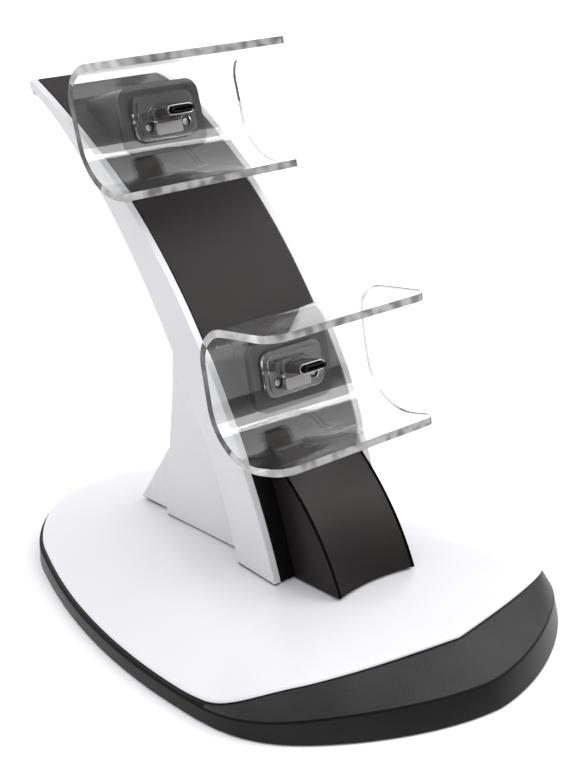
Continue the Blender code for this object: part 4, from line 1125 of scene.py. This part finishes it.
def platform_finish(side):
    """Material number of a face of the frame: clear, frosted bar, outer wall dimmed as painted shade."""
    middle = side.calc_center_median() / MM
    if middle.y < -(PLATFORM_FRONT + RIB_SIZE[2] / 2) and middle.z < -COLLAR_SIZE[1] / 2:
        return 1
    margin = PLATFORM_STEP + 0.1
    past_side = abs(middle.x) > PLATFORM_SIZE[0] / 2 - margin
    past_end = abs(middle.z + PLATFORM_DROP) > PLATFORM_SIZE[1] / 2 - margin
    return 2 if (past_side or past_end) and abs(side.normal.y) < 0.5 else 0


def small_bores(ends):
    return [round_bore(sign, CRADLE_SCREW_SHANK + GAP, 24, ends) for sign in (-1, 1)]


def ringed_screw():
    """Screw in a dark cup washer, whose black is painted shade round the head; the seat of the cup is at the
    origin.
    """
    inside = CRADLE_SCREW_HEAD + WASHER_PLAY[0]
    outside = CRADLE_SCREW_CUP - WASHER_PLAY[1]
    washer = lathe(((inside, 0.0), (outside, 0.0), (outside, WASHER_RIM[0]),
                    (outside - WASHER_LIP, WASHER_RIM[1]), (inside + WASHER_LIP, WASHER_HOLLOW[1]),
                    (inside, WASHER_HOLLOW[0])), 32)
    # the washer's black stands in for the shade round the screw head
    for side in washer.faces:
        side.material_index = 1
    screw = screw_mesh(CRADLE_SCREW_HEAD, CRADLE_SCREW_HEIGHT, CRADLE_SCREW_SHANK, CRADLE_SCREW_LENGTH,
                       CRADLE_SCREW_DOME)
    data = bpy.data.meshes.new("washer")
    washer.to_mesh(data)
    washer.free()
    screw.from_mesh(data)
    bpy.data.meshes.remove(data)
    return screw


def sheet_and_housing(tag, path, place):
    body_hole = oblong(BODY_SIZE[0] + 2 * GAP, BODY_SIZE[1] + 2 * GAP)
    bores = [hole_through(body_hole, *SHEET_CUT)] + small_bores(SHEET_BORE)
    sheet = carved(f"{tag}_sheet", cradle_sheet(path), bores)
    for side in sheet.faces:
        side.material_index = sheet_finish(side)
    piece(f"{tag}_bent_sheet", sheet, [clear_sheet, sawn_edge, sawn_front_shaded, sawn_wall_shaded], [f"{tag}_cradle"],
          0.22, place)
    bores = [hole_through(body_hole, *HOUSING_CUT)] + small_bores(HOUSING_BORE)
    housing = carved(f"{tag}_cup", housing_mesh(place), bores)
    piece(f"{tag}_plug_housing", housing, [black_plastic], [f"{tag}_connector_housing"],
          0.35, place, angle=40.0)
    piece(f"{tag}_clear_platform", platform_mesh(), [clear_moulded, frosted_bar, shaded_frame_wall],
          [f"{tag}_connector_platform"], 0.14, place)


def plug(tag, place):
    outer = oblong(*PLUG_SIZE, 12)
    inner = oblong(PLUG_SIZE[0] - 2 * SKIN, PLUG_SIZE[1] - 2 * SKIN, 12)
    sleeve = loft(along_plug([(outer, PLUG_ROOT), (outer, PLUG_TIP), (inner, PLUG_TIP), (inner, PLUG_ROOT)]),
                  caps=False)
    for side in sleeve.faces:
        # all but the front rim take the darker nickel, painted shade
        side.material_index = 1 if side.normal.y < -FLAT else 0
    piece(f"{tag}_plug_sleeve", sleeve, [shaded_sleeve_metal, nickel], [f"{tag}_plug_shell"], 0.1, place)

    body = oblong(*BODY_SIZE)
    small = oblong(BODY_SIZE[0] - 2 * BODY_CHAMFER, BODY_SIZE[1] - 2 * BODY_CHAMFER)
    rings = along_plug([(small, BODY_REAR), (body, BODY_REAR + BODY_CHAMFER), (body, SHEET - GAP),
                        (small, SHEET)])
    piece(f"{tag}_plug_back", loft(rings), [black_plastic], [f"{tag}_plug_body"], 0.0, place)


def holding_station(tag, wall_y, wall_z, tilt, path):
    """One cradle with its housing, platform, plug and screws."""
    place = station_place(wall_y, wall_z, tilt)
    sheet_and_housing(tag, path, place)
    plug(tag, place)
    seat = PLATFORM_FRONT - CUP_DEPTH
    for side, sign in (("left", -1), ("right", 1)):
        put = Matrix.Translation((sign * CRADLE_SCREW_X * MM, -seat * MM, CRADLE_SCREW_Z * MM))
        put = place @ put @ Matrix.Rotation(math.pi / 2, 4, "X")
        piece(f"{tag}_sheet_screw_{side}", ringed_screw(), [screw_steel, black_plastic],
              [f"{tag}_cradle_screw_{side}"], 0.0, put)


base_moulding()
top_cover()
rubber_feet()
floor_screws()
input_socket()
blade_frame()
blade_facing()
support_column()
rear_gusset()
toe_block()
for station in STATIONS:
    holding_station(*station)

# what stays from the CAD takes its finish by slot
slots = {entry["node"]: entry["material_slot"] for entry in frame["record"]["subparts"]}
for name, thing in frame["nodes"].items():
    for place in thing.material_slots:
        place.link = "OBJECT"
        place.material = NODE_FINISHES[slots[name]]
# the plug contacts take black as painted shade inside the plug's mouth; the ballast takes cast steel
for name, finish in (("ballast_left", ballast_steel), ("ballast_right", ballast_steel),
                     ("lower_plug_contacts", seam_and_shade_black), ("upper_plug_contacts", seam_and_shade_black)):
    frame["nodes"][name].material_slots[0].material = finish


# floor, light and camera
def pale_floor():
    sweep = bmesh.new()
    for x, y in ((-1, -1), (1, -1), (1, 1), (-1, 1)):
        sweep.verts.new((x * FLOOR_HALF, y * FLOOR_HALF, 0.0))
    sweep.faces.new(sweep.verts)
    floor = plain_object("studio_floor", sweep)
    paint, _, shader = new_material("pale floor")
    shader.inputs["Base Color"].default_value = (0.93, 0.93, 0.94, 1.0)
    shader.inputs["Roughness"].default_value = 0.9
    shader.inputs["Specular IOR Level"].default_value = 0.1
    floor.data.materials.append(paint)


def soft_sky():
    """White sky that brightens upward, with a dimmer patch low on the right."""
    world = bpy.data.worlds.new("studio")
    world.use_nodes = True
    tree = world.node_tree
    way = node(tree, "TexCoord").outputs["Generated"]
    rise = node(tree, "SeparateXYZ", {0: way}).outputs["Z"]
    glow = node(tree, "MapRange", {"Value": rise, "To Min": SKY_STRENGTH[0], "To Max": SKY_STRENGTH[1]})
    ahead = node(tree, "VectorMath", {0: way, 1: DIM_SIDE}, operation="DOT_PRODUCT").outputs["Value"]
    corner = node(tree, "MapRange", {"Value": ahead, "From Min": DIM_EDGE[0], "From Max": DIM_EDGE[1],
                                     "To Max": DIM_DEPTH}, interpolation_type="SMOOTHSTEP").outputs[0]
    low = node(tree, "MapRange", {"Value": rise, "From Min": DIM_HEIGHT[0], "From Max": DIM_HEIGHT[1],
                                  "To Min": 1.0, "To Max": 0.0}, interpolation_type="SMOOTHSTEP").outputs[0]
    dim = maths(tree, "SUBTRACT", 1.0, maths(tree, "MULTIPLY", corner, low))
    sky = tree.nodes["Background"]
    sky.inputs["Color"].default_value = (0.99, 0.99, 1.0, 1.0)
    tree.links.new(maths(tree, "MULTIPLY", glow.outputs[0], dim), sky.inputs["Strength"])
    bpy.context.scene.world = world


def lamps():
    for name, spot, wide, high, power in LAMPS:
        lamp = bpy.data.lights.new(name, "AREA")
        lamp.shape = "RECTANGLE"
        lamp.size = wide
        lamp.size_y = high
        lamp.energy = power
        light = bpy.data.objects.new(name, lamp)
        light.location = spot
        light.rotation_euler = (Vector(LAMP_TARGET) - light.location).to_track_quat("-Z", "Y").to_euler()
        light.visible_camera = False
        bpy.context.scene.collection.objects.link(light)


def camera():
    lens = bpy.data.cameras.new("camera")
    lens.lens = CAMERA_LENS
    lens.sensor_width = SENSOR_WIDTH
    thing = bpy.data.objects.new("camera", lens)
    thing.location = CAMERA_PLACE
    thing.rotation_euler = (math.radians(90.0 - CAMERA_RISE), 0.0, -math.radians(CAMERA_TURN))
    bpy.context.scene.collection.objects.link(thing)
    bpy.context.scene.camera = thing


pale_floor()
soft_sky()
lamps()
camera()
bpy.context.scene.view_settings.view_transform = "Standard"
